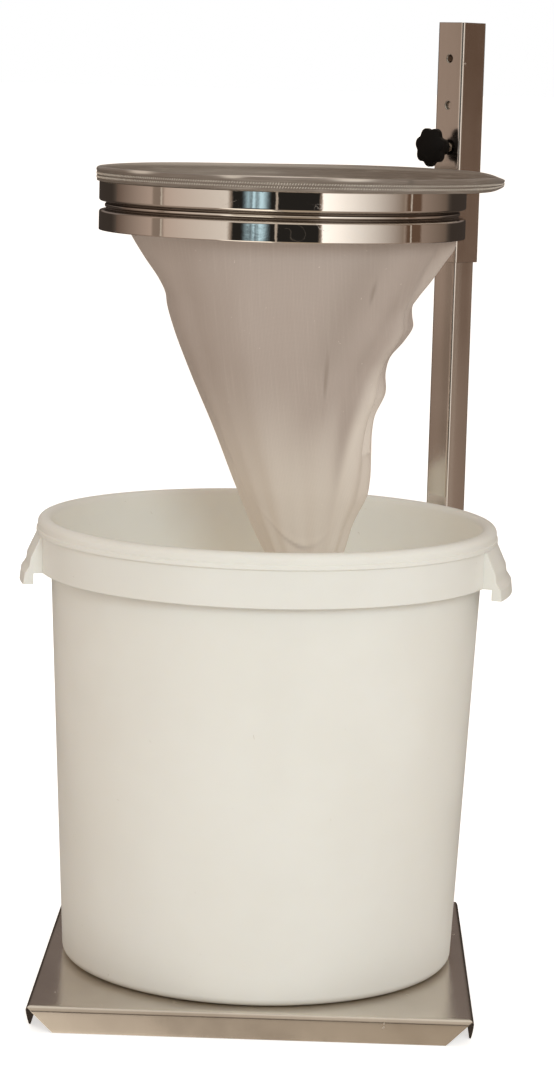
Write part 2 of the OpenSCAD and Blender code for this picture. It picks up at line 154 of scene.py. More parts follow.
def makeStudio():
    world = bpy.data.worlds.new("studio")
    bpy.context.scene.world = world
    world.use_nodes = True
    tree = world.node_tree
    tree.nodes.clear()
    where = addNode(tree, "ShaderNodeTexCoord").outputs["Generated"]
    split = addNode(tree, "ShaderNodeSeparateXYZ", inputs={0: where}).outputs
    back = calc(tree, "MULTIPLY", split["Y"], -1.0)
    azimuth = calc(tree, "DEGREES", calc(tree, "ARCTAN2", split["X"], back))
    elevation = calc(tree, "DEGREES", calc(tree, "ARCSINE", split["Z"]))
    behind = calc(tree, "FLOORED_MODULO", azimuth, 360.0)
    glow = studio["room"]
    for start, end, low, high, edge, soft, first, second in studio["panels"]:
        across = behind if end > 180 else azimuth
        share = calc(tree, "MULTIPLY", fade(tree, across, start - edge, start + edge),
                     fade(tree, across, end + edge, end - edge))
        share = calc(tree, "MULTIPLY", share, fade(tree, elevation, low - soft, low + soft))
        share = calc(tree, "MULTIPLY", share, fade(tree, elevation, high + soft, high - soft))
        along = addNode(tree, "ShaderNodeMapRange", inputs={
            "Value": across, "From Min": start, "From Max": end}).outputs["Result"]
        glow = mixColour(tree, share, glow, mixColour(tree, along, (*first, 1), (*second, 1)))
    centre, width, middle, height, colour = studio["glow"]
    patches = addNode(tree, "ShaderNodeTexNoise",
                      inputs={"Vector": where, "Scale": 9.0, "Detail": 5.0, "Roughness": 0.6})
    share = calc(tree, "MULTIPLY", fade(tree, azimuth, centre - width, centre),
                 fade(tree, azimuth, centre + width, centre))
    share = calc(tree, "MULTIPLY", share, fade(tree, elevation, middle - height, middle))
    share = calc(tree, "MULTIPLY", share, fade(tree, elevation, middle + 3 * height, middle))
    share = calc(tree, "MULTIPLY", share, fade(tree, patches.outputs["Fac"], 0.35, 0.62, 0.25, 1.6))
    glow = mixColour(tree, share, glow, (*colour, 1))
    colour, low, high = studio["overhead"]
    glow = mixColour(tree, fade(tree, elevation, low, high), glow, (*colour, 1))
    path = addNode(tree, "ShaderNodeLightPath").outputs
    seen = mixColour(tree, path["Is Diffuse Ray"], glow, studio["dome"])
    seen = mixColour(tree, path["Is Camera Ray"], seen, studio["backdrop"])
    light = addNode(tree, "ShaderNodeBackground", inputs={"Color": seen, "Strength": 1.0})
    addNode(tree, "ShaderNodeOutputWorld", inputs={"Surface": light.outputs[0]})


keyLight = {"place": (700, -2600, 1500), "aim": (0, 0, 350), "size": 900, "power": 22.5,
            "colour": (0.78, 0.93, 1.0)}
backLight = {"place": (-900, 2600, 1500), "aim": (0, 0, 350), "size": 900, "power": 13,
             "colour": (0.80, 0.93, 1.0)}
# A faint lamp low inside the bucket stands for the daylight that comes through its milky wall.
bucketLight = {"place": (0, 0, 150), "aim": (0, 0, 700), "size": 240, "power": 0.11,
               "colour": (1.0, 0.86, 0.68)}


def makeLight(name, light):
    data = bpy.data.lights.new(name, "AREA")
    data.size = light["size"] * mm
    data.energy = light["power"]
    data.color = light["colour"]
    obj = bpy.data.objects.new(name, data)
    bpy.context.scene.collection.objects.link(obj)
    place = Vector(light["place"]) * mm
    aim = Vector(light["aim"]) * mm - place
    obj.matrix_world = Matrix.Translation(place) @ aim.to_track_quat("-Z", "Y").to_matrix().to_4x4()
    obj.visible_camera = False
    obj.visible_glossy = False


makeCamera()
makeStudio()
makeLight("keyLight", keyLight)
makeLight("backLight", backLight)
makeLight("bucketLight", bucketLight)
bpy.context.scene.view_settings.view_transform = "Standard"
print("camera and light made")


# mesh tools


def span(node):
    # Lowest and highest corner of a CAD node, in mm.
    low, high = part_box(node)
    return np.array(low) / mm, np.array(high) / mm


def gridFaces(rows, columns, closedRows=False, closedColumns=False):
    # Quads of a grid of points, and the place of each corner from 0 to 1 along both ways.
    i = np.arange(rows if closedRows else rows - 1)[:, None, None]
    j = np.arange(columns if closedColumns else columns - 1)[None, :, None]
    down = i + np.array([0, 0, 1, 1])
    across = j + np.array([0, 1, 1, 0])
    faces = (down % rows) * columns + across % columns
    wide = columns if closedColumns else columns - 1
    tall = rows if closedRows else rows - 1
    place = np.stack(np.broadcast_arrays(across / wide, down / tall), -1)
    return faces.reshape(-1, 4), place.reshape(-1, 4, 2)


def makePiece(name, points, faces, corners=None):
    # A mesh object from points in mm. corners holds a UV for each corner of each face.
    mesh = bpy.data.meshes.new(name)
    mesh.from_pydata((np.asarray(points, float).reshape(-1, 3) * mm).tolist(), [],
                     [list(map(int, f)) for f in faces])
    if corners is not None:
        mesh.uv_layers.new(name="UVMap").data.foreach_set("uv", np.asarray(corners, np.float32).ravel())
    mesh.validate()
    obj = bpy.data.objects.new(name, mesh)
    bpy.context.scene.collection.objects.link(obj)
    return obj


def mergeAndTurn(obj, near=0.0005):
    # Merges doubled points and points all faces outwards.
    import bmesh
    work = bmesh.new()
    work.from_mesh(obj.data)
    bmesh.ops.remove_doubles(work, verts=work.verts, dist=near * mm)
    bmesh.ops.recalc_face_normals(work, faces=work.faces)
    work.to_mesh(obj.data)
    work.free()
    return obj


def addModifier(obj, kind, **settings):
    modifier = obj.modifiers.new(kind.lower(), kind)
    for key, value in settings.items():
        setattr(modifier, key, value)
    return modifier


def bake(obj):
    # Turns the modifiers' result into the mesh itself.
    graph = bpy.context.evaluated_depsgraph_get()
    mesh = bpy.data.meshes.new_from_object(obj.evaluated_get(graph))
    obj.modifiers.clear()
    old, obj.data = obj.data, mesh
    bpy.data.meshes.remove(old)
    obj.data.name = obj.name
    return obj


def finishPiece(obj, body, material, replaced=(), sharp=38):
    # Shades a piece smooth up to an angle and hands it to the frame.
    obj.data.shade_smooth()
    obj.data.set_sharp_from_angle(angle=np.radians(sharp))
    obj.data.materials.clear()
    obj.data.materials.append(material)
    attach(obj, body)
    if replaced:
        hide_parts(*replaced)
    return obj


def foldedLine(moves, start, heading, fine=9.0):
    # Middle line of a bent sheet. A move is (length, 0) for a straight or (radius, turn) for a
    # bend, in mm and degrees. Chords are laid end to end: each goes 2 r sin(step/2) in the
    # direction halfway through its step. A straight gets two more points near its ends, which
    # keep its shading flat.
    lengths, directions, ends = [], [], []
    for size, turn in moves:
        n = 3 if turn == 0 else max(2, int(round(abs(turn) / fine)))
        step = turn / n
        chord = 2 * size * np.sin(np.radians(abs(step)) / 2)
        lengths.append(size * np.array([0.06, 0.88, 0.06]) if turn == 0 else np.full(n, chord))
        directions.append(heading + step * (np.arange(n) + 0.5))
        ends.append(heading + step * (np.arange(n) + 1))
        heading = heading + turn
    lengths, directions = np.concatenate(lengths), np.radians(np.concatenate(directions))
    steps = lengths[:, None] * np.stack([np.cos(directions), np.sin(directions)], 1)
    line = np.concatenate([[start], start + np.cumsum(steps, 0)])
    headings = np.concatenate([[directions[0] * 180 / np.pi], np.concatenate(ends)])
    return line, headings


def sheetSection(line, headings, thick):
    # Closed outline of a sheet round its middle line, with its two ends rounded off.
    h = np.radians(headings)[:, None]
    side = np.concatenate([np.sin(h), -np.cos(h)], 1) * thick / 2
    along = np.concatenate([np.cos(h), np.sin(h)], 1) * thick / 2
    nose = 0.6
    startEnd = [line[0] - side[0] * nose - along[0] * nose, line[0] + side[0] * nose - along[0] * nose]
    farEnd = [line[-1] + side[-1] * nose + along[-1] * nose, line[-1] - side[-1] * nose + along[-1] * nose]
    outline = np.concatenate([startEnd, line + side, farEnd, (line - side)[::-1]])
    return outline


def roundedLine(points, radii, steps=5):
    # Polygon with rounded corners. Each corner becomes an arc that touches both of its sides:
    # it starts r tan(turn/2) before the corner and swings about a centre on the bisector.
    points, radii = np.asarray(points, float), np.asarray(radii, float)
    before, after = np.roll(points, 1, 0) - points, np.roll(points, -1, 0) - points
    before /= np.linalg.norm(before, axis=1, keepdims=True)
    after /= np.linalg.norm(after, axis=1, keepdims=True)
    half = np.arccos(np.clip((before * after).sum(1), -1, 1)) / 2
    middle = before + after
    middle /= np.linalg.norm(middle, axis=1, keepdims=True)
    centre = points + middle * (radii / np.sin(half))[:, None]
    reach = (radii / np.tan(half))[:, None]
    first, last = points + before * reach - centre, points + after * reach - centre
    swing = np.pi - 2 * half
    t = np.linspace(0, 1, steps)[None, :, None]
    w = swing[:, None, None]
    arc = (np.sin((1 - t) * w) * first[:, None] + np.sin(t * w) * last[:, None]) / np.sin(w)
    line = (centre[:, None] + arc).reshape(-1, 2)
    keep = np.linalg.norm(line - np.roll(line, 1, 0), axis=1) > 1e-4
    return line[keep]


def revolve(name, section, centre, columns):
    # A closed section (radius, height) carried round the upright axis through centre.
    a = 2 * np.pi * np.arange(columns) / columns
    r, z = section[:, 0][:, None], section[:, 1][:, None]
    points = np.stack([centre[0] + r * np.cos(a), centre[1] + r * np.sin(a), z + 0 * a], -1)
    faces, corners = gridFaces(len(section), columns, True, True)
    return mergeAndTurn(makePiece(name, points, faces, corners))


def smoothCurve(x, knots):
    # Smooth curve through given (x, y) points: cubic pieces whose slopes are the
    # differences of the neighbours.
    kx, ky = np.array(knots, float).T
    slope = np.gradient(ky, kx)
    i = np.clip(np.searchsorted(kx, x) - 1, 0, len(kx) - 2)
    h = kx[i + 1] - kx[i]
    t = np.clip((x - kx[i]) / h, 0, 1)
    return ((1 + 2 * t) * (1 - t) ** 2 * ky[i] + t * (1 - t) ** 2 * h * slope[i]
            + t * t * (3 - 2 * t) * ky[i + 1] + t * t * (t - 1) * h * slope[i + 1])


def bump(x, centre, width):
    # Bell curve.
    return np.exp(-((x - centre) / width) ** 2)


# shared shader groups


def newGroup(name, inputs, outputs):
    # A node group with named inputs (kind, value) and outputs (kind).
    tree = bpy.data.node_groups.new(name, "ShaderNodeTree")
    for label, (kind, value) in inputs.items():
        socket = tree.interface.new_socket(label, in_out="INPUT", socket_type=kind)
        socket.default_value = value
    for label, kind in outputs.items():
        tree.interface.new_socket(label, in_out="OUTPUT", socket_type=kind)
    return tree, tree.nodes.new("NodeGroupInput").outputs, tree.nodes.new("NodeGroupOutput")


def makeGrainGroup():
    # Fine lines left by grinding: noise stretched along one axis, coarse drift beside it.
    tree, given, result = newGroup(
        "brushedGrain",
        {"Stretch": ("NodeSocketVector", (1, 1, 1)), "Drift": ("NodeSocketFloat", 12.0)},
        {"Lines": "NodeSocketFloat", "Tone": "NodeSocketFloat"})
    place = addNode(tree, "ShaderNodeTexCoord").outputs["Object"]
    scaled = addNode(tree, "ShaderNodeVectorMath", {"operation": "MULTIPLY"},
                     {0: place, 1: given["Stretch"]}).outputs[0]
    lines = addNode(tree, "ShaderNodeTexNoise",
                    inputs={"Vector": scaled, "Scale": 1.0, "Detail": 4.0, "Roughness": 0.65})
    drift = addNode(tree, "ShaderNodeTexNoise",
                    inputs={"Vector": place, "Scale": given["Drift"], "Detail": 3.0, "Roughness": 0.55})
    tree.links.new(lines.outputs["Fac"], result.inputs["Lines"])
    tree.links.new(drift.outputs["Fac"], result.inputs["Tone"])
    return tree


def makeSpeckGroup():
    # Sparse round specks and short scuffs, as a mask.
    tree, given, result = newGroup(
        "specks",
        {"Scale": ("NodeSocketFloat", 200.0), "Size": ("NodeSocketFloat", 0.12),
         "Share": ("NodeSocketFloat", 0.2)},
        {"Mask": "NodeSocketFloat"})
    place = addNode(tree, "ShaderNodeTexCoord").outputs["Object"]
    warp = addNode(tree, "ShaderNodeTexNoise", inputs={"Vector": place, "Scale": 90.0, "Detail": 2.0})
    shifted = addNode(tree, "ShaderNodeMix", {"data_type": "VECTOR"})
    shifted.inputs[0].default_value = 0.02
    tree.links.new(place, shifted.inputs[4])
    tree.links.new(warp.outputs["Color"], shifted.inputs[5])
    cells = addNode(tree, "ShaderNodeTexVoronoi",
                    inputs={"Vector": shifted.outputs[1], "Scale": given["Scale"]})
    tint = addNode(tree, "ShaderNodeSeparateColor", inputs={0: cells.outputs["Color"]}).outputs
    chosen = calc(tree, "LESS_THAN", tint[0], given["Share"])
    size = calc(tree, "MULTIPLY", given["Size"], calc(tree, "ADD", tint[1], 0.4))
    near = calc(tree, "LESS_THAN", cells.outputs["Distance"], size)
    tree.links.new(calc(tree, "MULTIPLY", chosen, near), result.inputs["Mask"])
    return tree


def makeWeaveGroup():
    # Threads of a plain weave on the cloth's flat cut: warp and weft as two rows of ridges.
    tree, given, result = newGroup(
        "weave",
        {"Pitch": ("NodeSocketFloat", 0.001), "Sway": ("NodeSocketFloat", 0.4)},
        {"Height": "NodeSocketFloat", "Warp": "NodeSocketFloat", "Patch": "NodeSocketFloat"})
    uv = addNode(tree, "ShaderNodeUVMap", {"uv_map": "UVMap"}).outputs[0]
    slow = addNode(tree, "ShaderNodeTexNoise", inputs={"Vector": uv, "Scale": 14.0, "Detail": 3.0})
    split = addNode(tree, "ShaderNodeSeparateXYZ", inputs={0: uv}).outputs
    waves = []
    for axis in ("X", "Y"):
        turns = calc(tree, "DIVIDE", split[axis], given["Pitch"])
        turns = calc(tree, "ADD", turns, calc(tree, "MULTIPLY", slow.outputs["Fac"], given["Sway"]))
        waves.append(calc(tree, "SINE", calc(tree, "MULTIPLY", turns, 2 * np.pi)))
    both = calc(tree, "MULTIPLY_ADD", calc(tree, "ADD", waves[0], waves[1]), 0.25, 0.5)
    tree.links.new(both, result.inputs["Height"])
    tree.links.new(calc(tree, "MULTIPLY_ADD", waves[0], 0.5, 0.5), result.inputs["Warp"])
    tree.links.new(slow.outputs["Fac"], result.inputs["Patch"])
    return tree


grainGroup = makeGrainGroup()
speckGroup = makeSpeckGroup()
weaveGroup = makeWeaveGroup()


# materials


def startMaterial(name, **sockets):
    # A Principled material, its tree and its shader, with constants on the shader's own sockets.
    material = bpy.data.materials.new(name)
    material.use_nodes = True
    tree = material.node_tree
    shader = next(n for n in tree.nodes if n.type == "BSDF_PRINCIPLED")
    for key, value in sockets.items():
        shader.inputs[key].default_value = value
    return material, tree, shader


def useGroup(tree, group, **inputs):
    node = addNode(tree, "ShaderNodeGroup", {"node_tree": group}, inputs)
    return node.outputs


def linkBump(tree, shader, height, strength, distance):
    node = addNode(tree, "ShaderNodeBump",
                   inputs={"Height": height, "Strength": strength, "Distance": distance})
    tree.links.new(node.outputs[0], shader.inputs["Normal"])
    return node


def brushedMetal(name, dark, light, rough, stretch, drift=12.0, bumpHeight=0.00003, specks=0.0):
    # Satin steel: ground lines in bump and roughness, drifting tone, a few specks.
    material, tree, shader = startMaterial(name, Metallic=1.0)
    grain = useGroup(tree, grainGroup, Stretch=stretch, Drift=drift)
    tone = mixColour(tree, fade(tree, grain["Tone"], 0.3, 0.7), (*dark, 1), (*light, 1))
    lined = mixColour(tree, calc(tree, "MULTIPLY", grain["Lines"], 0.35), tone, (*dark, 1))
    roughness = calc(tree, "ADD", fade(tree, grain["Tone"], 0.25, 0.75, rough[0], rough[1]),
                     calc(tree, "MULTIPLY", grain["Lines"], 0.08))
    if specks:
        mask = useGroup(tree, speckGroup, Scale=140.0, Size=0.14, Share=specks)["Mask"]
        lined = mixColour(tree, calc(tree, "MULTIPLY", mask, 0.6), lined, (0.8, 0.75, 0.68, 1))
        roughness = calc(tree, "MAXIMUM", roughness, calc(tree, "MULTIPLY", mask, 0.6))
    tree.links.new(lined, shader.inputs["Base Color"])
    tree.links.new(roughness, shader.inputs["Roughness"])
    linkBump(tree, shader, grain["Lines"], 0.5, bumpHeight)
    return material


def polishedMetal():
    # Mirror polish on a slightly uneven band, with smears and dried drops, and painted shade in the groove:
    # the colour is darkened and roughened where the surface lies deeper than the band's face, beside the bead, and
    # the bead itself is left undarkened.
    low, high = span("hoop")
    centre, radius = (low + high) / 2 * mm, (high - low)[0] / 2 * mm
    material, tree, shader = startMaterial("polishedSteel", Metallic=1.0)
    place = addNode(tree, "ShaderNodeTexCoord").outputs["Object"]
    local = addNode(tree, "ShaderNodeVectorMath", {"operation": "SUBTRACT"},
                    {0: place, 1: tuple(centre)}).outputs[0]
    flat = addNode(tree, "ShaderNodeVectorMath", {"operation": "MULTIPLY"},
                   {0: local, 1: (1, 1, 0)}).outputs[0]
    reach = addNode(tree, "ShaderNodeVectorMath", {"operation": "LENGTH"}, {0: flat}).outputs["Value"]
    height = calc(tree, "ABSOLUTE", addNode(tree, "ShaderNodeSeparateXYZ", inputs={0: local}).outputs["Z"])
    # painted shade: mask of the groove's flanks and floor
    grooveShade = calc(tree, "MULTIPLY", fade(tree, reach, radius - 0.0008, radius - 0.0024),
                 fade(tree, height, 0.0006, 0.0014))
    grain = useGroup(tree, grainGroup, Stretch=(60, 60, 900), Drift=30.0)
    drops = useGroup(tree, speckGroup, Scale=110.0, Size=0.16, Share=0.05)["Mask"]
    swirl = addNode(tree, "ShaderNodeTexNoise", inputs={
        "Vector": place, "Scale": 55.0, "Detail": 1.0, "Distortion": 0.7}).outputs["Fac"]
    line = fade(tree, calc(tree, "ABSOLUTE", calc(tree, "SUBTRACT", swirl, 0.5)), 0.014, 0.003)
    area = addNode(tree, "ShaderNodeTexNoise",
                   inputs={"Vector": place, "Scale": 26.0, "Detail": 1.0}).outputs["Fac"]
    smear = calc(tree, "MULTIPLY", line, fade(tree, area, 0.54, 0.62))
    spots = calc(tree, "MAXIMUM", drops, smear)
    colour = mixColour(tree, grain["Tone"], (0.80, 0.755, 0.70, 1), (0.85, 0.805, 0.75, 1))
    colour = mixColour(tree, calc(tree, "MULTIPLY", spots, 0.3), colour, (0.85, 0.83, 0.8, 1))
    # painted shade in the groove
    colour = mixColour(tree, calc(tree, "MULTIPLY", grooveShade, 0.85), colour, (0.19, 0.15, 0.12, 1))
    rough = fade(tree, grain["Tone"], 0.35, 0.75, 0.015, 0.05)
    rough = calc(tree, "MAXIMUM", rough, calc(tree, "MULTIPLY", spots, 0.18))
    rough = calc(tree, "MAXIMUM", rough, calc(tree, "MULTIPLY", grooveShade, 0.25))
    tree.links.new(colour, shader.inputs["Base Color"])
    tree.links.new(rough, shader.inputs["Roughness"])
    uneven = addNode(tree, "ShaderNodeTexNoise", inputs={
        "Vector": place, "Scale": 110.0, "Detail": 3.0, "Roughness": 0.6}).outputs["Fac"]
    linkBump(tree, shader, calc(tree, "MULTIPLY_ADD", grain["Lines"], 0.05, uneven), 1.0, 0.000025)
    return material


def blackPlastic():
    # Moulded black plastic with a slight orange peel and dust.
    material, tree, shader = startMaterial("blackPlastic", **{"IOR": 1.5, "Specular IOR Level": 0.16})
    grain = useGroup(tree, grainGroup, Stretch=(900, 900, 900), Drift=60.0)
    mask = useGroup(tree, speckGroup, Scale=500.0, Size=0.12, Share=0.06)["Mask"]
    colour = mixColour(tree, grain["Tone"], (0.002, 0.002, 0.002, 1), (0.006, 0.005, 0.004, 1))
    colour = mixColour(tree, calc(tree, "MULTIPLY", mask, 0.25), colour, (0.2, 0.19, 0.17, 1))
    tree.links.new(colour, shader.inputs["Base Color"])
    tree.links.new(fade(tree, grain["Tone"], 0.3, 0.7, 0.42, 0.55), shader.inputs["Roughness"])
    linkBump(tree, shader, grain["Lines"], 0.2, 0.00004)
    return material


def whitePlastic():
    # Warm white moulded plastic, a little milky, with scuffs, specks and soft mould drift.
    material, tree, shader = startMaterial(
        "whitePlastic", **{"Subsurface Weight": 0.15, "Subsurface Scale": 0.004,
                           "Subsurface Radius": (1.0, 0.85, 0.65), "IOR": 1.5})
    grain = useGroup(tree, grainGroup, Stretch=(35, 35, 220), Drift=9.0)
    mask = useGroup(tree, speckGroup, Scale=160.0, Size=0.10, Share=0.05)["Mask"]
    colour = mixColour(tree, fade(tree, grain["Tone"], 0.3, 0.7),
                       (0.855, 0.850, 0.802, 1), (0.885, 0.884, 0.840, 1))
    colour = mixColour(tree, calc(tree, "MULTIPLY", grain["Lines"], 0.10), colour,
                       (0.82, 0.79, 0.73, 1))
    colour = mixColour(tree, calc(tree, "MULTIPLY", mask, 0.35), colour, (0.55, 0.50, 0.42, 1))
    tree.links.new(colour, shader.inputs["Base Color"])
    tree.links.new(fade(tree, grain["Tone"], 0.3, 0.7, 0.34, 0.46), shader.inputs["Roughness"])
    linkBump(tree, shader, grain["Lines"], 0.15, 0.0001)
    return material


def meshCloth(name, facts):
    # Woven nylon: threads in relief and tone, patchy streaks along the slant, specks, and the
    # piece's own fold attribute of painted light and shade: painted highlight on its ridges, painted shade in its
    # hollows.
    material, tree, shader = startMaterial(
        name, **{"Roughness": facts["rough"], "Sheen Weight": 0.12, "Sheen Roughness": 0.4,
                 "Specular IOR Level": facts["gloss"]})
    thin, thick, pale, deep = ((*facts[key], 1) for key in ("thin", "thick", "pale", "deep"))
    weave = useGroup(tree, weaveGroup, Pitch=facts["pitch"], Sway=0.5)
    colour = mixColour(tree, weave["Height"], thin, thick)
    colour = mixColour(tree, fade(tree, weave["Patch"], 0.35, 0.7, 0.0, 0.25), colour, thin)
    uv = addNode(tree, "ShaderNodeUVMap", {"uv_map": "UVMap"}).outputs[0]
    drawn = addNode(tree, "ShaderNodeVectorMath", {"operation": "MULTIPLY"},
                    {0: uv, 1: facts["streak"]}).outputs[0]
    lines = addNode(tree, "ShaderNodeTexNoise",
                    inputs={"Vector": drawn, "Scale": 1.0, "Detail": 3.0}).outputs["Fac"]
    colour = mixColour(tree, fade(tree, lines, 0.50, 0.75, 0.0, facts["lines"]), colour, pale)
    colour = mixColour(tree, fade(tree, lines, 0.46, 0.26, 0.0, facts["lines"]), colour, deep)
    # painted highlight where fold is above 0, painted shade where it is below 0
    fold = addNode(tree, "ShaderNodeAttribute", {"attribute_name": "fold"}).outputs["Fac"]
    colour = mixColour(tree, fade(tree, fold, 0.0, 1.0, 0.0, 0.85), colour, pale)
    colour = mixColour(tree, fade(tree, fold, 0.0, -1.0, 0.0, 0.7), colour, deep)
    mask = useGroup(tree, speckGroup, Scale=260.0, Size=0.13, Share=0.06)["Mask"]
    colour = mixColour(tree, calc(tree, "MULTIPLY", mask, 0.5), colour, pale)
    tree.links.new(colour, shader.inputs["Base Color"])
    low, high = facts["alpha"]
    tree.links.new(fade(tree, weave["Height"], 0.1, 0.6, low, high), shader.inputs["Alpha"])
    linkBump(tree, shader, weave["Height"], facts["relief"], 0.0001)
    return material


def storePaintedShading(obj, values):
    # Keeps one number for each point of a piece, painted light above 0 and painted shade below 0, which its cloth
    # material reads.
    layer = obj.data.attributes.new("fold", "FLOAT", "POINT")
    layer.data.foreach_set("value", np.asarray(values, np.float32).ravel())


def threadMaterial():
    # Twisted sewing thread.
    material, tree, shader = startMaterial(
        "sewingThread", **{"Roughness": 0.6, "Sheen Weight": 0.3, "Sheen Roughness": 0.4})
    grain = useGroup(tree, grainGroup, Stretch=(1500, 1500, 4000), Drift=25.0)
    colour = mixColour(tree, grain["Lines"], (0.50, 0.44, 0.37, 1), (0.76, 0.70, 0.62, 1))
    tree.links.new(colour, shader.inputs["Base Color"])
    linkBump(tree, shader, grain["Lines"], 0.4, 0.0001)
    return material


def floorMaterial():
    # Pale and matt. It glows faintly to the eye alone, so that it reads as a lit white sweep.
    material, tree, shader = startMaterial(
        "paleFloor", **{"Roughness": 0.9, "Specular IOR Level": 0.0, "Emission Color": (1, 1, 1, 1)})
    grain = useGroup(tree, grainGroup, Stretch=(3, 3, 3), Drift=2.0)
    colour = mixColour(tree, grain["Tone"], (0.90, 0.895, 0.885, 1), (0.92, 0.915, 0.905, 1))
    tree.links.new(colour, shader.inputs["Base Color"])
    path = addNode(tree, "ShaderNodeLightPath").outputs
    tree.links.new(calc(tree, "MULTIPLY", path["Is Camera Ray"], floor["glow"]),
                   shader.inputs["Emission Strength"])
    return material


traySteel = brushedMetal("traySteel", (0.62, 0.565, 0.50), (0.74, 0.685, 0.61), (0.11, 0.20),
                         (300, 12, 300), 14.0, 0.00003, 0.04)
postSteel = brushedMetal("postSteel", (0.66, 0.60, 0.54), (0.76, 0.70, 0.64), (0.08, 0.13),
                         (700, 700, 9), 10.0, 0.00001, 0.03)
weldSteel = brushedMetal("weldSteel", (0.26, 0.22, 0.19), (0.46, 0.41, 0.36), (0.30, 0.55),
                         (500, 500, 500), 120.0, 0.00006)
screwSteel = brushedMetal("screwSteel", (0.48, 0.47, 0.44), (0.62, 0.61, 0.58), (0.20, 0.34),
                          (400, 400, 400), 200.0, 0.00002)
hoopSteel = polishedMetal()
knobBlack = blackPlastic()
bucketWhite = whitePlastic()
coneCloth = {
    "thin": (0.47, 0.395, 0.352), "thick": (0.515, 0.435, 0.388),
    "pale": (0.86, 0.785, 0.71), "deep": (0.31, 0.25, 0.21), "lines": 0.07,
    "pitch": 0.0011, "streak": (620.0, 16.0, 1.0), "alpha": (0.91, 0.97),
    "rough": 0.5, "gloss": 0.4, "relief": 0.15,
}
hemCloth = {
    "thin": (0.165, 0.13, 0.104), "thick": (0.20, 0.163, 0.133),
    "pale": (0.75, 0.68, 0.60), "deep": (0.085, 0.066, 0.052), "lines": 0.2,
    "pitch": 0.0009, "streak": (30.0, 900.0, 1.0), "alpha": (0.98, 1.0),
    "rough": 0.34, "gloss": 0.9, "relief": 0.12,
}
coneNylon = meshCloth("coneNylon", coneCloth)
hemNylon = meshCloth("hemNylon", hemCloth)
sewing = threadMaterial()
print("materials made")


# tray

tray = {
    "sheet": 1.5,
    "fold": 5.0,        # outside radius of the folded edges
    "columns": 44,
    "foldSteps": 12,    # even, so that one row lies where the mitred ridge ends
    "wallSteps": 5,
    "edge": 0.3,        # rounding of the cut edges
    "flare": 1.2,       # how far the flanges' free edges lean in
}


def makeTray():
    # Each flange: y = half - r + r sin t and depth = r (1 - cos t) round the fold, then straight
    # down. Its half length is that of its neighbour's fold up to 45 degrees, then half - depth.
    low, high = span("base_tray")
    half, top, r = high[0], high[2], tray["fold"]
    t = np.radians(np.linspace(0, 90, tray["foldSteps"] + 1))
    out = np.concatenate([half - r + r * np.sin(t), np.full(tray["wallSteps"], half)])
    deep = np.concatenate([r * (1 - np.cos(t)), np.linspace(r, top, tray["wallSteps"] + 1)[1:]])
    reach = np.where(deep <= r * (1 - np.sqrt(0.5)) + 1e-6, out, half - deep)
    lean = tray["flare"] * np.clip((deep - r) / (top - r), 0, 1) ** 2
    across = np.sin(np.linspace(-1, 1, tray["columns"]) * np.pi / 2)
    x = reach[:, None] * across
    y = -(out - lean)[:, None] + 0 * across
    z = (top - deep)[:, None] + 0 * across
    rows = len(out)
    faces, _ = gridFaces(rows, tray["columns"])
    allPoints, allFaces = [], []
    for side in range(4):
        c, s = [(1, 0), (0, 1), (-1, 0), (0, -1)][side]
        allPoints.append(np.stack([c * x - s * y, s * x + c * y, z], -1).reshape(-1, 3))
        allFaces.append(faces + side * rows * tray["columns"])
    flat = (half - r) * across
    gx, gy = np.meshgrid(flat, flat)
    allFaces.append(gridFaces(len(flat), len(flat))[0] + 4 * rows * tray["columns"])
    allPoints.append(np.stack([gx, gy, top + 0 * gx], -1).reshape(-1, 3))
    obj = makePiece("trayShell", np.concatenate(allPoints), np.concatenate(allFaces))
    mergeAndTurn(obj, 0.01)
    upward = sum(p.normal.z * p.area for p in obj.data.polygons)
    if upward < 0:
        obj.data.flip_normals()
    addModifier(obj, "SOLIDIFY", thickness=tray["sheet"] * mm, offset=-1, use_even_offset=True)
    addModifier(obj, "BEVEL", width=tray["edge"] * mm, segments=2, limit_method="ANGLE",
                angle_limit=np.radians(60))
    bake(obj)
    return finishPiece(obj, "base", traySteel, ["base_tray"])


makeTray()


def cadCopy(node, name, edge):
    # Copy of a CAD node with its flat faces joined up and its edges rounded.
    import bmesh
    mesh = frame["nodes"][node].data.copy()
    mesh.name = name
    obj = bpy.data.objects.new(name, mesh)
    bpy.context.scene.collection.objects.link(obj)
    work = bmesh.new()
    work.from_mesh(mesh)
    bmesh.ops.remove_doubles(work, verts=work.verts, dist=0.01 * mm)
    bmesh.ops.dissolve_limit(work, angle_limit=np.radians(1.0), verts=work.verts, edges=work.edges)
    bmesh.ops.recalc_face_normals(work, faces=work.faces)
    work.to_mesh(mesh)
    work.free()
    for layer in list(mesh.attributes):
        if layer.name in ("custom_normal", "sharp_edge"):
            mesh.attributes.remove(layer)
    addModifier(obj, "BEVEL", width=edge * mm, segments=3, limit_method="ANGLE",
                angle_limit=np.radians(40))
    return bake(obj)


finishPiece(cadCopy("corner_stiffener", "stiffenerPlate", 0.6), "base", traySteel,
            ["corner_stiffener"])
finishPiece(cadCopy("hoop_arm", "armPlate", 0.5), "carrier", postSteel, ["hoop_arm"])
print("tray, stiffener and arm made")


# post and sleeve

tubes = {
    "post": {"side": 25.0, "wall": 1.5, "corner": 2.5},
    "sleeve": {"side": 30.0, "wall": 2.0, "corner": 2.75},
    "edge": 0.3,
    "cornerSteps": 8,
    "screwHole": 8.0,
    "holeSides": 64,
    "pitch": 1.25,       # of the M8 thread
    "threadDepth": 0.6,
}


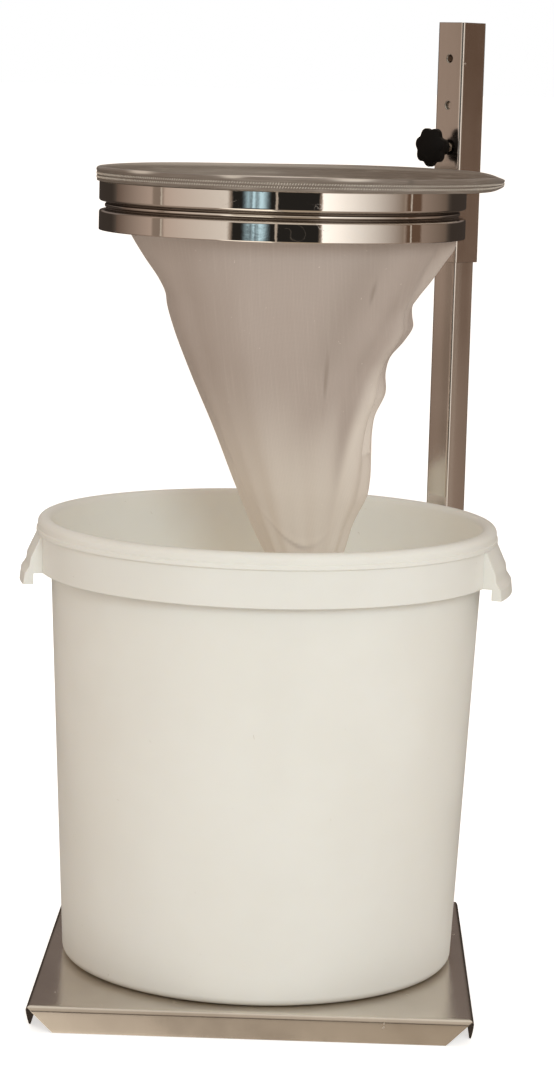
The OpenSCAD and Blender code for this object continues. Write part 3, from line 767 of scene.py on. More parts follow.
def tubeOutline(side, corner):
    # Rounded square turned by 45 degrees: quarter circles about its four corner centres.
    t = np.radians(np.linspace(0, 90, tubes["cornerSteps"] + 1))
    quarter = side / 2 - corner + corner * np.stack([np.cos(t), np.sin(t)], 1)
    parts = [quarter @ np.array([[np.cos(a), np.sin(a)], [-np.sin(a), np.cos(a)]])
             for a in np.radians([45, 135, 225, 315])]
    return np.concatenate(parts)


def makeTube(name, node, facts):
    # The outline is drawn in step by step and carried round the wall's section.
    low, high = span(node)
    centre = (low + high)[:2] / 2
    e, wall = tubes["edge"], facts["wall"]
    path = [(0, low[2] + e), (0, high[2] - e), (e, high[2]), (wall - e, high[2]),
            (wall, high[2] - e), (wall, low[2] + e), (wall - e, low[2]), (e, low[2])]
    rings = []
    for inset, z in path:
        flat = tubeOutline(facts["side"] - 2 * inset, max(facts["corner"] - inset, 0.4))
        rings.append(np.column_stack([flat + centre, np.full(len(flat), z)]))
    faces, corners = gridFaces(len(path), len(rings[0]), True, True)
    return mergeAndTurn(makePiece(name, np.array(rings), faces, corners))


towardHoop = np.array([-1.0, -1.0, 0.0]) / np.sqrt(2)
sideways = np.array([1.0, -1.0, 0.0]) / np.sqrt(2)
postAxis = (span("post")[0] + span("post")[1])[:2] / 2
clampHeight = next(j for j in frame["joints"] if j["name"] == "knob_turn")["pos_m"][2] / mm
spareHoles = sorted(m["pos_m"][2] / mm for m in frame["record"]["mounts"] if "screw_hole" in m["name"])


def alongScrew(height, along, across, rise):
    # Points from their place along the screw's axis, out from the post's axis, sideways and up.
    base = np.array([postAxis[0], postAxis[1], height])
    return (base + np.multiply.outer(along, towardHoop) + np.multiply.outer(across, sideways)
            + np.multiply.outer(rise, np.array([0.0, 0.0, 1.0])))


def turned(name, height, along, radius, columns, wave=None):
    # Turned part about the screw's axis: radius at each place along it, closed at both ends.
    # wave(along, angle) multiplies the radius.
    a = 2 * np.pi * np.arange(columns) / columns
    x, r = np.asarray(along, float)[:, None] + 0 * a, np.asarray(radius, float)[:, None] + 0 * a
    if wave is not None:
        x, r = wave(x, r, a[None, :] + 0 * x)
    points = alongScrew(height, x, r * np.cos(a), r * np.sin(a))
    faces, corners = gridFaces(len(along), columns, False, True)
    ends = [list(range(columns))[::-1], list(range((len(along) - 1) * columns, len(along) * columns))]
    obj = makePiece(name, points, [*faces.tolist(), *ends])
    return mergeAndTurn(obj)


def makeSleeve():
    obj = makeTube("sleeveTube", "sleeve", tubes["sleeve"])
    face = tubes["sleeve"]["side"] / 2
    cutters = []
    for i, height in enumerate([clampHeight, *spareHoles]):
        cutter = turned(f"cutter{i}", height, [face - 4, face + 2], [tubes["screwHole"] / 2] * 2,
                        tubes["holeSides"])
        addModifier(obj, "BOOLEAN", operation="DIFFERENCE", object=cutter, solver="EXACT")
        cutters.append(cutter)
    bake(obj)
    for cutter in cutters:
        bpy.data.objects.remove(cutter)
    addModifier(obj, "BEVEL", width=0.35 * mm, segments=2, limit_method="ANGLE",
                angle_limit=np.radians(60))
    bake(obj)
    finishPiece(obj, "carrier", postSteel, ["sleeve"])
    addModifier(obj, "WEIGHTED_NORMAL", keep_sharp=True)


def makeThreads():
    # Inside of a threaded hole: the radius drops by the thread's depth where the place along the
    # axis, less one pitch for each turn, is near the middle of a pitch.
    face, wall = tubes["sleeve"]["side"] / 2, tubes["sleeve"]["wall"]
    r, pitch = tubes["screwHole"] / 2, tubes["pitch"]
    a = 2 * np.pi * np.arange(48) / 48
    x = np.linspace(face - wall + 0.15, face - 0.25, 15)[:, None] + 0 * a
    phase = (x / pitch - a / (2 * np.pi)) % 1
    tooth = np.clip(1 - np.abs(phase - 0.5) * 2.6, 0, 1)
    inner = r - 0.05 - tubes["threadDepth"] * tooth
    allPoints, allFaces = [], []
    for i, height in enumerate(spareHoles):
        skin = alongScrew(height, x, inner * np.cos(a), inner * np.sin(a))
        back = alongScrew(height, x[::-1], (r + 0.02) * np.cos(a) + 0 * x, (r + 0.02) * np.sin(a) + 0 * x)
        points = np.concatenate([skin, back])
        faces, _ = gridFaces(len(points), len(a), True, True)
        allPoints.append(points.reshape(-1, 3))
        allFaces.append(faces + i * points.shape[0] * points.shape[1])
    obj = mergeAndTurn(makePiece("holeThreads", np.concatenate(allPoints), np.concatenate(allFaces)))
    return finishPiece(obj, "carrier", screwSteel, sharp=60)


finishPiece(makeTube("postTube", "post", tubes["post"]), "base", postSteel, ["post"])
makeSleeve()
makeThreads()
print("post and sleeve made")


# welds

welds = {"ripples": 1.5, "depth": 0.22, "columns": 14, "rowsPerMm": 3.0}


def weldBead(start, along, faceA, faceB, length, leg, seed):
    # Bead in the corner of two faces: a quarter circle of radius leg between the directions
    # faceA and faceB, carried along. Crescents of cooled puddles cross it and its ends taper.
    rng = np.random.default_rng(seed)
    rows = int(length * welds["rowsPerMm"]) + 8
    u = np.linspace(0, 1, rows)[:, None]
    phi = np.linspace(0, np.pi / 2, welds["columns"])[None, :]
    bow = np.sin(2 * phi)
    puddle = (u * length / welds["ripples"] + 0.55 * bow + 0.25 * np.sin(9 * u + seed)) % 1
    r = leg * (1 - welds["depth"] * puddle ** 1.5 + 0.04 * rng.normal(size=(rows, 1)))
    r = np.minimum(r, leg) * np.sqrt(np.clip(1 - (2 * u - 1) ** 8, 0.02, 1))
    cast = (start + np.multiply.outer(u * length + 0 * phi, along)
            + np.multiply.outer(r * np.cos(phi), faceA) + np.multiply.outer(r * np.sin(phi), faceB))
    heel = start + np.multiply.outer(u * length, along) - 0.15 * (np.array(faceA) + np.array(faceB))
    return np.concatenate([heel, cast], 1)


def joinBeads(name, beads, body, replaced):
    allPoints, allFaces, offset = [], [], 0
    for points in beads:
        rows, columns = points.shape[:2]
        faces, _ = gridFaces(rows, columns, False, True)
        ends = [list(range(columns))[::-1], list(range((rows - 1) * columns, rows * columns))]
        allFaces += [[i + offset for i in f] for f in [*faces.tolist(), *ends]]
        allPoints.append(points.reshape(-1, 3))
        offset += rows * columns
    obj = mergeAndTurn(makePiece(name, np.concatenate(allPoints), allFaces))
    return finishPiece(obj, body, weldSteel, replaced, sharp=70)


def makeWelds():
    up = np.array([0.0, 0.0, 1.0])
    side, leg, corner = tubes["post"]["side"], 3.5, tubes["post"]["corner"]
    foot = np.array([postAxis[0], postAxis[1], span("post")[0][2]])
    beads = []
    for k in range(4):
        a = np.radians(45 + 90 * k)
        outward = np.array([np.cos(a), np.sin(a), 0])
        along = np.array([-np.sin(a), np.cos(a), 0])
        run = side - 2 * corner
        beads.append(weldBead(foot + outward * side / 2 - along * run / 2, along, outward, up, run,
                              leg, k))
    joinBeads("footWeld", beads, "base", ["post_weld"])

    armLow, armHigh = span("hoop_arm")
    hoopLow, hoopHigh = span("hoop")
    reach = np.linalg.norm(postAxis - (hoopLow + hoopHigh)[:2] / 2) - (hoopHigh - hoopLow)[0] / 2
    band = (armHigh[2] - armLow[2]) * 0.18
    beads = []
    for s in (-1, 1):
        start = alongScrew(armLow[2], tubes["sleeve"]["side"] / 2, s * 2.5, 0.0)
        beads.append(weldBead(start, up, towardHoop, s * sideways, armHigh[2] - armLow[2], 3.0, 7 + s))
        for z in (armLow[2], armHigh[2] - band):
            start = alongScrew(z, reach - 0.2, s * 2.5, 0.0)
            beads.append(weldBead(start, up, -towardHoop, s * sideways, band, 2.8, 11 + s))
    joinBeads("armWeld", beads, "carrier", ["arm_welds"])


makeWelds()


# hoop

hoop = {
    "sheet": 1.0,
    "grooveDepth": 6.0,
    "shoulder": (1.5, 78),    # bend radius and angle
    "floor": 1.1,
    "bead": (1.5, 60),
    "columns": 420,
}


def makeHoop():
    # Middle line: straight band, shoulder, flank, floor, bead and the same again upwards.
    low, high = span("hoop")
    centre, radius = (low + high)[:2] / 2, (high - low)[0] / 2 - hoop["sheet"] / 2
    bend, lean = hoop["shoulder"]
    beadBend, beadLean = hoop["bead"]
    leanR, beadR = np.radians(lean), np.radians(beadLean)
    flank = (hoop["grooveDepth"] - (bend + hoop["floor"]) * (1 - np.cos(leanR))) / np.sin(leanR)
    halfGroove = ((bend + hoop["floor"]) * np.sin(leanR) + flank * np.cos(leanR)
                  + (hoop["floor"] + beadBend) * np.sin(beadR))
    band = (high[2] - low[2]) / 2 - halfGroove
    down = [(bend, lean), (flank, 0), (hoop["floor"], -lean - beadLean), (beadBend, beadLean)]
    up = down[::-1]
    line, headings = foldedLine([(band, 0), *down, *up, (band, 0)], np.array([radius, low[2]]), 90,
                                fine=5)
    line[0, 1] += hoop["sheet"] * 0.3
    line[-1, 1] -= hoop["sheet"] * 0.3
    obj = revolve("hoopBand", sheetSection(line, headings, hoop["sheet"]), centre, hoop["columns"])
    return finishPiece(obj, "carrier", hoopSteel, ["hoop"])


makeHoop()
print("welds and hoop made")


# knob and screw

knob = {
    "lobes": 7,
    "lobeRadius": 5.0,
    "coreRadius": 14.25,
    "soft": 0.9,          # rounding where lobes meet the core
    "across": 34.0,
    "head": 9.0,
    "dome": 37.0,
    "hubFoot": 14.0,
    "hubTop": 21.0,
    "hub": 13.5,
    "bare": 3.0,
    "turned": 12.0,       # degrees
    "edge": 2.2,
}


def knobWave(x, r, a):
    # Radius of the lobed head: a soft maximum of the core and of the nearest lobe's circle.
    step = 2 * np.pi / knob["lobes"]
    near = (a - np.radians(knob["turned"]) + step / 2) % step - step / 2
    centre = knob["across"] / 2 - knob["lobeRadius"]
    inside = np.clip(knob["lobeRadius"] ** 2 - (centre * np.sin(near)) ** 2, 0, None)
    lobe = np.where(inside > 0, centre * np.cos(near) + np.sqrt(inside), 0)
    k = knob["soft"]
    outline = knob["coreRadius"] + k * np.log1p(np.exp(np.clip((lobe - knob["coreRadius"]) / k, -30, 30)))
    outline = np.minimum(outline, knob["across"] / 2)
    head = np.clip((r - knob["hubTop"] / 2) / (knob["coreRadius"] - knob["hubTop"] / 2), 0, 1)
    lobed = r / knob["coreRadius"] * outline
    radius = np.where(r > knob["hubTop"] / 2, r + (lobed - r) * head, r)
    front = tubes["sleeve"]["side"] / 2 + knob["bare"] + knob["hub"] + knob["head"]
    sag = knob["dome"] - np.sqrt(knob["dome"] ** 2 - np.clip(radius, 0, 20) ** 2)
    share = np.clip((x - (front - 4.0)) / 4.0, 0, 1)
    return x - sag * share, radius


def makeKnob():
    base = tubes["sleeve"]["side"] / 2 + knob["bare"]
    back, front = base + knob["hub"], base + knob["hub"] + knob["head"]
    t = np.linspace(0, np.pi / 2, 7)
    e, core, foot, top = knob["edge"], knob["coreRadius"], knob["hubFoot"] / 2, knob["hubTop"] / 2
    along = np.concatenate([
        [base, base], base + 0.5 * (1 - np.cos(t[1:])), np.linspace(base + 1, back - 1.5, 5),
        [back - 0.5, back - 0.1], back + 0.0 * t + e * 0.5 * (1 - np.cos(t)),
        [front - e * 1.1], front - e + e * np.sin(t), np.full(8, front)])
    radius = np.concatenate([
        [0.01, foot - 0.6], foot - 0.5 + 0.5 * np.sin(t[1:]), np.linspace(foot, top - 1.2, 5),
        [top - 0.4, top + 0.9], core - e * 0.5 + e * 0.5 * np.sin(t),
        [core], core - e + e * np.cos(t), (core - e) * np.linspace(0.9, 0.02, 8)])
    obj = turned("starKnob", clampHeight, along, radius, 168, knobWave)
    return finishPiece(obj, "knob", knobBlack, ["knob_grip"], sharp=50)


def screwWave(x, r, a):
    # M8 thread: the radius falls linearly on both sides of a crest that climbs a pitch a turn.
    phase = (x / tubes["pitch"] - a / (2 * np.pi)) % 1
    tooth = np.clip(np.abs(phase - 0.5) * 2.5, 0, 1)
    return x, r - tubes["threadDepth"] * tooth


def makeScrew():
    tip = tubes["post"]["side"] / 2 + 0.3
    end = tubes["sleeve"]["side"] / 2 + knob["bare"] + knob["hub"] / 2
    along = np.concatenate([[tip, tip + 0.01], np.linspace(tip + 0.5, end, 150)])
    radius = np.concatenate([[0.6, 2.9], np.full(150, 3.95)])
    radius = np.minimum(radius, 2.9 + np.clip(along - tip, 0, 2) * 1.2)
    obj = turned("clampScrew", clampHeight, along, radius, 40, screwWave)
    return finishPiece(obj, "knob", screwSteel, ["clamp_screw"], sharp=50)


makeKnob()
makeScrew()
print("knob and screw made")


# strainer

cone = {
    "columns": 400,
    "rows": 150,
    "webRows": 9,
    "capRows": 5,
    "topRadius": 145.0,      # straight cone before folding, mm
    "tipRadius": 6.0,
    "sway": (34.0, 1.55),    # the tip hangs this far to the right, and the power of the bend
    "webRise": 2.0,
    # depth below the hoop's top, and how far the cloth stands out from the straight cone
    "right": [(0, 0), (14, 0), (25, 3), (36, 10), (46, 13), (57, 9), (75, 3.5), (88, -1),
              (98, -3), (106, -0.5), (114, 3), (126, 0), (141, -7.5), (153, -7), (170, -1.5),
              (191, -4), (206, -1.5), (222, 3), (245, 9), (258, 10.5), (270, 8), (279, 6),
              (304, 5), (330, 2), (366, 0)],
    # share of the depth, and the direction in degrees of the long ridge down the front right
    "ridge": [(0, -4), (0.14, -9), (0.27, -21), (0.4, -32), (0.55, -35), (0.7, -36), (0.85, -40), (1, -46)],
    "left": [(0, 0), (40, -2), (62, -7), (80, -12), (90, -12.5), (100, -9.5), (119, -6.5),
             (150, -4.5), (206, -3), (252, 0.5), (306, 3), (340, 2), (366, 0)],
}


def hemPath(a, offset=0.0):
    # The hem's oval: half its length and width, moved out by offset, at angle a.
    low, high = span("strainer_hem")
    centre, thick = (low + high) / 2, 3.0
    halfLong, halfWide = (high - low)[0] / 2 - thick, (high - low)[1] / 2 - thick
    away = (np.degrees(a) + 180) % 360 - 180
    point = hem["point"][0] * bump(away, 0, hem["point"][1])
    return (centre[0] + (halfLong + offset + point) * np.cos(a),
            centre[1] + (halfWide + offset) * np.sin(a))


def makeCone():
    hoopLow, hoopHigh = span("hoop")
    hemLow, hemHigh = span("strainer_hem")
    coneLow, coneHigh = span("strainer_cone")
    centre, top = (hoopLow + hoopHigh)[:2] / 2, hoopHigh[2]
    depth = top - 1 - coneLow[2]
    columns = cone["columns"]
    turn = np.arange(columns) / columns
    a = 2 * np.pi * turn + np.pi / 2          # the seam is at the back
    # web, from the hem over the hoop's edge
    w = np.linspace(0, 1, cone["webRows"])[:, None]
    hemX, hemY = hemPath(a, -2.0)
    inner = np.hypot(hemX - centre[0], hemY - centre[1])
    innerAngle = np.arctan2(hemY - centre[1], hemX - centre[0])
    edge = np.interp(np.unwrap(a), np.sort(innerAngle % (2 * np.pi)),
                     inner[np.argsort(innerAngle % (2 * np.pi))], period=2 * np.pi)
    edgeR = np.minimum(cone["topRadius"] + 1.0, edge - 1.2)
    webX = hemX * (1 - w) + (centre[0] + edgeR * np.cos(a)) * w
    webY = hemY * (1 - w) + (centre[1] + edgeR * np.sin(a)) * w
    webZ = (hemLow[2] + cone["webRise"]) * (1 - w) + (top + 1.0) * w + 0 * webX
    # cone, from the hoop's edge down to the tip
    down = np.linspace(0, 1, cone["rows"])[:, None]
    below = 1 + depth * down
    # angles: 0 is at the right, -90 at the front
    d = np.degrees((a + np.pi) % (2 * np.pi) - np.pi)[None, :]
    fromLeft = (d + 360) % 360 - 180
    straight = cone["tipRadius"] + (cone["topRadius"] - cone["tipRadius"]) * (1 - down)
    slant = below - 0.12 * np.abs(d) * (1 - down)
    rightFold = smoothCurve(slant, cone["right"]) * bump(d, 0, 34)
    leftFold = smoothCurve(below + 0 * d, cone["left"]) * bump(fromLeft, 0, 42)
    ridgeAt = smoothCurve(down, cone["ridge"])
    fadeIn = np.clip(down * 7, 0, 1) * np.clip((1 - down) * 5, 0, 1)
    ridge = fadeIn * (3.4 * bump(d, ridgeAt, 7.5) - 2.0 * bump(d, ridgeAt + 15, 7))
    secondRidge = fadeIn * 2.6 * (bump(d, -9 - 8 * down, 4) - bump(d, -17 - 8 * down, 4)) * (down < 0.6)
    creases = fadeIn * (1.3 * np.sin(np.radians(6 * d + 120 * down)) * (1 - bump(d, -30, 60) * 0.4)
                        + 0.8 * np.sin(np.radians(9 * d - 160 * down + 60))
                        + 0.35 * np.sin(np.radians(17 * d + 300 * down)))
    r = straight + rightFold + leftFold + ridge + secondRidge + creases
    limit = np.where(below < 40, 144.0 + 6.0 * np.clip((below - 27) / 4, 0, 1), 400)
    sway, power = cone["sway"]
    shift = sway * down ** power
    r = np.minimum(r, limit - shift * np.cos(a))
    x = centre[0] + shift + r * np.cos(a)
    y = centre[1] + r * np.sin(a)
    z = top - below + 0 * x
    # rounded tip
    k = np.linspace(0, 1, cone["capRows"] + 1)[1:, None]
    tipX = x[-1:] * (1 - k) + (centre[0] + sway) * k
    tipY = y[-1:] * (1 - k) + centre[1] * k
    tipZ = z[-1:] - 0.0 * k + 0 * tipX
    points = np.stack([np.concatenate([webX, x, tipX]), np.concatenate([webY, y, tipY]),
                       np.concatenate([webZ, z, tipZ])], -1)
    faces, place = gridFaces(points.shape[0], columns, False, True)
    # UV on the flat cut: slant distance from the apex, and the angle that a cone unrolls to
    slantLength = np.hypot(depth, cone["topRadius"] - cone["tipRadius"])
    unroll = (cone["topRadius"] - cone["tipRadius"]) / slantLength
    rowPlace = np.concatenate([1.08 - 0.08 * w[:, 0], 1 - down[:, 0], 0 * k[:, 0]])
    rho = (np.interp(place[..., 1] * (len(rowPlace) - 1), np.arange(len(rowPlace)), rowPlace)
           * slantLength + cone["tipRadius"]) * mm
    phi = (place[..., 0] - 0.5) * 2 * np.pi * unroll
    corners = np.stack([rho * np.sin(phi), -rho * np.cos(phi)], -1)
    obj = makePiece("strainerCone", points, faces[:, ::-1], corners[:, ::-1])
    # painted highlight along the ridge, on the side right of it and towards the tip; painted shade in the slanting
    # hollow, beside the ridge, in short creases and just under the hoop's edge, with one painted highlight arc
    # where the tip is pressed in and painted shade just under it
    arc = 0.80 - 0.04 * ((d + 85) / 36) ** 2
    rightOf = np.clip((d - ridgeAt + 3) / 8, 0, 1) * np.clip((50 - d) / 20, 0, 1)
    lower = np.clip((down - 0.3) / 0.3, 0, 1)
    pale = (fadeIn * ((0.33 + 0.35 * lower) * bump(d, ridgeAt, 9) + (0.08 + 0.42 * lower) * rightOf)
            + 0.86 * np.clip((down - 0.38) / 0.3, 0, 1)
            + 0.5 * bump(down, arc, 0.006) * bump(d, -97, 28))
    dark = (0.5 * bump(d, -46 - 62 * down, 12) * bump(down, 0.26, 0.24)
            + 0.4 * fadeIn * bump(d, ridgeAt - 17, 6) * bump(down, 0.45, 0.25)
            + 0.8 * bump(d, -50.5, 0.9) * bump(down, 0.22, 0.022)
            + 0.8 * bump(d, -69, 1.0) * bump(down, 0.42, 0.05) + 0.3 * bump(down, 0.05, 0.04)
            + 0.45 * bump(down, arc + 0.014, 0.008) * bump(d, -97, 28))
    # the web and the tip cap are painted light all over
    fold = np.concatenate([1.0 + 0 * webX, pale - dark + 0 * x, 1.0 + 0 * tipX])
    storePaintedShading(obj, np.clip(fold, -1, 1))
    return obj, slantLength, unroll


hem = {
    "columns": 420,
    "leg": 1.9,             # half thickness of the two legs side by side
    "loop": 2.45,           # outside radius of the loop round the wire
    "legTop": 6.6,
    "point": (2.5, 9.0),    # how far the right end is drawn to a point, and its width in degrees
    "wave": 0.35,
    "pucker": 0.25,
    "rise": (0.15, 1.4, 65.0),   # mean, swing and direction of the way the hem lies
    "stitchPitch": 2.2,
    "stitchHeights": (3.2, 6.0),    # two rows, above the hem's foot
    "stitchLong": 2.0,
    "stitchThick": 0.38,
    "stitchTilt": 56,
    "pinch": (0.0, 15.0, 0.6),      # where the hem is nipped flat: direction, width, share
    # painted highlights on the tube
    "paintedGlints": [(-108.6, 3.5), (-73.8, 6.0), (-140.0, 5.0)],   # pale places: direction and width
    "wire": 1.5,            # radius
}


def hemRise(a):
    # The hem lies a little low at the front left and a little high at the back: a cosine, with
    # two slow waves on it.
    mean, swing, direction = hem["rise"]
    return (mean + swing * np.cos(a - np.radians(direction))
            + hem["wave"] * (np.sin(2 * a + 0.7) + 0.6 * np.sin(5 * a + 2.1)))


def hemPinch(a):
    # How much of its height the hem keeps where it is nipped.
    direction, width, share = hem["pinch"]
    away = (np.degrees(a) - direction + 180) % 360 - 180
    return 1 - share * bump(away, 0, width)


def makeHem():
    # Section of the folded band: two upright legs, and most of a circle round the wire on top.
    low, high = span("strainer_hem")
    height, a = high[2] - low[2], 2 * np.pi * np.arange(hem["columns"]) / hem["columns"]
    t = np.radians(np.linspace(218, -38, 17))
    loop = np.stack([hem["loop"] * np.cos(t), height - hem["loop"] + hem["loop"] * np.sin(t)], 1)
    leg, legTop = hem["leg"], hem["legTop"]
    section = np.concatenate([[(-leg + 0.2, 0.0), (-leg, 0.4), (-leg, 3.0), (-leg + 0.1, legTop)], loop,
                              [(leg - 0.1, legTop), (leg, 3.0), (leg, 0.4), (leg - 0.2, 0.0)]])
    out, up = section[:, 0][:, None], section[:, 1][:, None]
    share = np.clip(up / height, 0, 1)
    stitches = hemLength() / hem["stitchPitch"]
    pucker = hem["pucker"] * np.sin(stitches * a)[None, :] * bump(up, np.mean(hem["stitchHeights"]), 2.8)
    body = 0.12 * np.sin(31 * a + 1.0)[None, :] * share
    x, y = hemPath(a[None, :], out + np.sign(out) * (pucker + body))
    z = low[2] + height / 2 + (up - height / 2) * hemPinch(a)[None, :] + hemRise(a)[None, :] * share ** 2
    points = np.stack([x, y, z + 0 * x], -1)
    faces, place = gridFaces(len(section), len(a), True, True)
    corners = np.stack([place[..., 0] * hemLength() * mm, place[..., 1] * 0.036], -1)
    obj = mergeAndTurn(makePiece("hemBand", points, faces, corners))
    place = np.empty(len(obj.data.vertices) * 3)
    obj.data.vertices.foreach_get("co", place)
    px, py, pz = place.reshape(-1, 3).T / mm
    middle = (low + high) / 2
    direction = np.degrees(np.arctan2(py - middle[1], px - middle[0]))
    rise = (pz - low[2]) / height
    # painted highlights at the listed places high on the tube, and along its top
    pale = sum(bump(direction, at, width) for at, width in hem["paintedGlints"]) * bump(rise, 0.86, 0.13)
    # the back's inner side is painted lighter: painted light
    back = bump(direction, 120, 60)
    # painted shade in a band under the loop at the front, and a thin dark line at -56 degrees high on the tube
    dark = (1 - back) * 0.25 * bump(rise, 0.36, 0.16) + 0.9 * bump(direction, -56, 1.2) * bump(rise, 0.8, 0.2)
    storePaintedShading(obj, np.clip(pale + 0.2 * bump(rise, 0.95, 0.1) + 0.36 * back - dark, -1, 1))
    return finishPiece(obj, "strainer", hemNylon, ["strainer_hem"], sharp=80)


def hemLength():
    a = np.linspace(0, 2 * np.pi, 721)
    x, y = hemPath(a)
    return np.hypot(np.diff(x), np.diff(y)).sum()


def makeStitches():
    # Rows of short slanted thread ends: one capsule, set at even steps of the oval's length.
    low, high = span("strainer_hem")
    fine = np.linspace(0, 2 * np.pi, 2881)
    fx, fy = hemPath(fine, hem["leg"] + 0.2)
    length = np.concatenate([[0], np.cumsum(np.hypot(np.diff(fx), np.diff(fy)))])
    each = int(length[-1] / hem["stitchPitch"])
    count = each * len(hem["stitchHeights"])
    rng = np.random.default_rng(5)
    step = (np.arange(count) % each + 0.5 + 0.5 * (np.arange(count) // each)) / each
    foot = np.repeat(hem["stitchHeights"], each)[:, None, None]
    at = np.interp(step * length[-1], length, fine)
    t = np.linspace(0, np.pi, 6)[None, :, None]
    ring = 2 * np.pi * np.arange(6)[None, None, :] / 6
    tilt = np.radians(hem["stitchTilt"] + 7 * rng.normal(size=count))[:, None, None]
    size = (1 + 0.12 * rng.normal(size=count))[:, None, None]
    run = -np.cos(t) * hem["stitchLong"] / 2 * size
    r = hem["stitchThick"] * np.sin(t) ** 0.6
    across, outward = r * np.cos(ring), r * np.sin(ring) * 0.8
    tangent = run * np.cos(tilt) - across * np.sin(tilt)
    rise = run * np.sin(tilt) + across * np.cos(tilt)
    a = at[:, None, None]
    cx, cy = hemPath(a, hem["leg"] + 0.2)
    heading = np.arctan2(np.gradient(fy), np.gradient(fx))
    h = np.interp(at, fine, np.unwrap(heading))[:, None, None]
    x = cx + tangent * np.cos(h) + outward * np.sin(h)
    y = cy + tangent * np.sin(h) - outward * np.cos(h)
    middle = (high[2] - low[2]) / 2
    z = low[2] + middle + (foot + rise - middle) * hemPinch(a) + 0.1 * hemRise(a) + 0 * x
    points = np.stack([x, y, z], -1)
    one, _ = gridFaces(6, 6, False, True)
    faces = (one[None] + (36 * np.arange(count))[:, None, None]).reshape(-1, 4)
    obj = mergeAndTurn(makePiece("hemStitches", points, faces), 0.0001)
    return finishPiece(obj, "strainer", sewing, sharp=80)


def makeWire():
    low, high = span("strainer_hem")
    a = (2 * np.pi * np.arange(240) / 240)[:, None]
    ring = (2 * np.pi * np.arange(14) / 14)[None, :]
    x, y = hemPath(a, hem["wire"] * np.cos(ring))
    wireLow, wireHigh = span("hem_wire")
    level, middle = (wireLow[2] + wireHigh[2]) / 2, (low[2] + high[2]) / 2
    level = middle + (level - middle) * hemPinch(a)
    z = level + hemRise(a) * 0.7 + hem["wire"] * np.sin(ring) * hemPinch(a) + 0 * x
    faces, _ = gridFaces(240, 14, True, True)
    obj = mergeAndTurn(makePiece("hemWire", np.stack([x, y, z], -1), faces))
    return finishPiece(obj, "strainer", screwSteel, ["hem_wire"], sharp=80)


coneObject, coneSlant, coneUnroll = makeCone()
finishPiece(coneObject, "strainer", coneNylon, ["strainer_cone"], sharp=80)
makeHem()
makeStitches()
makeWire()
print("strainer made")


# bucket

bucket = {
    "turn": -2.0,          # degrees, as seen from above
    "height": 374.0,
    "footRadius": 166.0,
    "topRadius": 181.0,    # of the wall under the rim
    "wall": 2.2,
    "footRound": 6.0,
    "footRise": 5.0,
    "footRing": 8.0,
    "footBend": 3.0,
    "footSlope": 40.0,
    "lipOut": 12.5,
    "lipHeight": 13.0,
    "lipRound": 5.5,
    "bead": (3.4, 1.0),    # height of the bead along the lip's foot, and how far it stands out
    "skirtBack": 2.5,
    "skirtWall": 2.0,
    "skirtHeight": 31.0,
    "columns": 360,
}
grip = {
    "angle": 36.0,       # that each covers
    "reach": 13.5,       # beyond the lip
    "drop": 40.0,        # from the lip's underside to the grips' foot
    "notch": 7.5,        # the lower part of the end walls stands off the skirt
    "wall": 2.5,
    "band": 9.0,
    "rise": 6.0,         # height over which the step runs in
    "step": 4.0,
    "shoulder": 22.0,
    "draft": 1.0,
    "columns": 37,
    "edge": 1.1,
}


def makeBucket():
    # One closed section: bottom and wall from the folded line, shelf, skirt and lip with
    # rounded corners, then back down the inside.
    low, high = span("bucket")
    b, foot = bucket, low[2]
    lipZ, skirtZ = b["height"] - b["lipHeight"], b["height"] - b["lipHeight"] - b["skirtHeight"]
    lean = np.degrees(np.arctan((b["topRadius"] - b["footRadius"]) / skirtZ))
    slope = np.radians(b["footSlope"])
    ramp = (b["footRise"] - 2 * b["footBend"] * (1 - np.cos(slope))) / np.sin(slope)
    rampRun = 2 * b["footBend"] * np.sin(slope) + ramp * np.cos(slope)
    middle = b["footRadius"] - b["wall"] / 2
    bendTop = b["wall"] / 2 + b["footRound"] * (1 - np.sin(np.radians(lean)))
    start = np.array([0.0, b["footRise"] + b["wall"] / 2])
    line, headings = foldedLine(
        [(middle - b["footRound"] - b["footRing"] - rampRun, 0), (b["footBend"], -b["footSlope"]),
         (ramp, 0), (b["footBend"], b["footSlope"]), (b["footRing"], 0),
         (b["footRound"], 90 - lean), ((lipZ - bendTop) / np.cos(np.radians(lean)), 0)], start, 0)
    h = np.radians(headings)[:, None]
    side = np.concatenate([np.sin(h), -np.cos(h)], 1) * b["wall"] / 2
    outer, inner = line + side, line - side
    outer[0, 0] = inner[0, 0] = 0.02
    lipR = b["topRadius"] + b["lipOut"]
    skirtR = lipR - b["skirtBack"]
    shelf = lipZ - b["skirtWall"]
    wallAtShelf = outer[-1, 0] - (outer[-1, 1] - shelf) * np.tan(np.radians(lean))
    mouth = inner[-1, 0] + b["lipHeight"] * np.tan(np.radians(lean))
    beadTop, beadOut = lipZ + b["bead"][0], b["bead"][1]
    rim = roundedLine(
        [(wallAtShelf, shelf), (skirtR - b["skirtWall"], shelf), (skirtR - b["skirtWall"], skirtZ),
         (skirtR, skirtZ), (skirtR, lipZ), (lipR, lipZ), (lipR, beadTop),
         (lipR - beadOut, beadTop + beadOut), (lipR - beadOut, b["height"]), (mouth, b["height"]),
         (inner[-1, 0], lipZ + 0.5)],
        [0.6, 0.8, 0.7, 0.7, 0.5, 0.8, 0.5, 0.6, b["lipRound"], b["lipRound"], 0.2], 7)
    section = np.concatenate([outer[:-1], rim, inner[:-1][::-1]])
    section[:, 1] += foot
    return revolve("bucketShell", section, (0, 0), b["columns"])


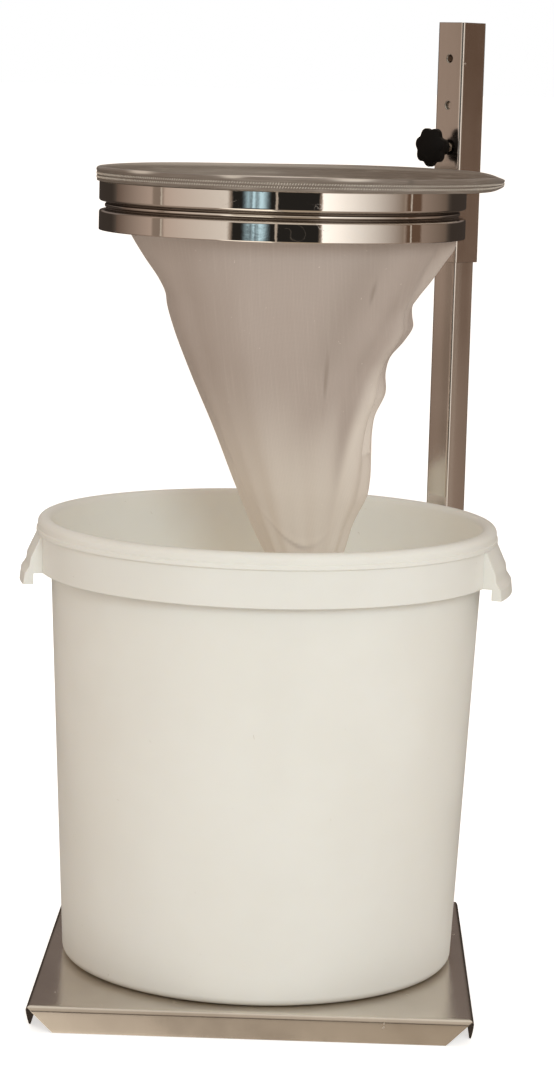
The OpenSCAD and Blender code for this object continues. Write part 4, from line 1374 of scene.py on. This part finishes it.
def makeGrips():
    # Section of a grip from the lip out and down, carried over its angle. Its last columns
    # turn in to the skirt and make the end walls, which are notched at the skirt's foot.
    low, high = span("bucket")
    b, foot = bucket, low[2]
    lipZ = foot + b["height"] - b["lipHeight"]
    lipR = b["topRadius"] + b["lipOut"]
    skirtR = lipR - b["skirtBack"]
    edge, base = lipR + grip["reach"], lipZ - grip["drop"]
    profile = np.array([
        (lipR - 1.0, lipZ + 0.4), (edge - grip["step"] - 2 * grip["draft"], base + grip["shoulder"]),
        (edge - grip["step"] - grip["draft"], base + grip["band"] + grip["rise"]),
        (edge - grip["draft"], base + grip["band"]), (edge, base)])
    skirtZ = lipZ - b["skirtHeight"]
    cuts = np.linspace(0, 1, 7)[:-1]
    heights = np.concatenate([*(profile[i, 1] + (profile[i + 1, 1] - profile[i, 1]) * cuts
                                for i in range(len(profile) - 1)), [base, skirtZ + 0.02, skirtZ - 0.02]])
    heights = np.sort(heights)[::-1]
    reach = np.interp(heights, profile[::-1, 1], profile[::-1, 0])
    half = np.radians(grip["angle"] / 2)
    angle = np.concatenate([[-half] * 3, np.linspace(-half, half, grip["columns"]), [half] * 3])
    pull = np.zeros(len(angle))
    pull[:3] = pull[-3:][::-1] = [1.0, 0.66, 0.33]
    inner = np.minimum(reach, np.where(heights > skirtZ, skirtR - 0.6, skirtR + grip["notch"]))
    r = reach[:, None] * (1 - pull) + inner[:, None] * pull
    allPoints, allFaces = [], []
    faces, _ = gridFaces(len(heights), len(angle))
    for side in range(2):
        a = angle + np.radians(b["turn"]) + side * np.pi
        points = np.stack([r * np.cos(a), r * np.sin(a), heights[:, None] + 0 * r], -1)
        allPoints.append(points.reshape(-1, 3))
        allFaces.append(faces + side * points.shape[0] * points.shape[1])
    obj = makePiece("bucketGrips", np.concatenate(allPoints), np.concatenate(allFaces))
    mergeAndTurn(obj, 0.002)
    points = np.array([v.co for v in obj.data.vertices])
    outward = sum(p.normal.dot(Vector((p.center.x, p.center.y, 0))) * p.area for p in obj.data.polygons)
    if outward < 0:
        obj.data.flip_normals()
    addModifier(obj, "SOLIDIFY", thickness=grip["wall"] * mm, offset=-1, use_even_offset=True)
    addModifier(obj, "BEVEL", width=grip["edge"] * mm, segments=4, limit_method="ANGLE",
                angle_limit=np.radians(28))
    return bake(obj)


finishPiece(makeBucket(), "bucket", bucketWhite, ["bucket"])
finishPiece(makeGrips(), "bucket", bucketWhite, sharp=50)
print("bucket made")


# floor

floor = {"radius": 200000.0, "sides": 96, "under": 0.4, "glow": 0.6}


def makeFloor():
    a = 2 * np.pi * np.arange(floor["sides"]) / floor["sides"]
    points = floor["radius"] * np.stack([np.cos(a), np.sin(a), 0 * a], -1)
    points[:, 2] = -floor["under"]
    obj = makePiece("floor", points, [list(range(floor["sides"]))])
    obj.data.materials.append(floorMaterial())
    obj.visible_glossy = False


makeFloor()
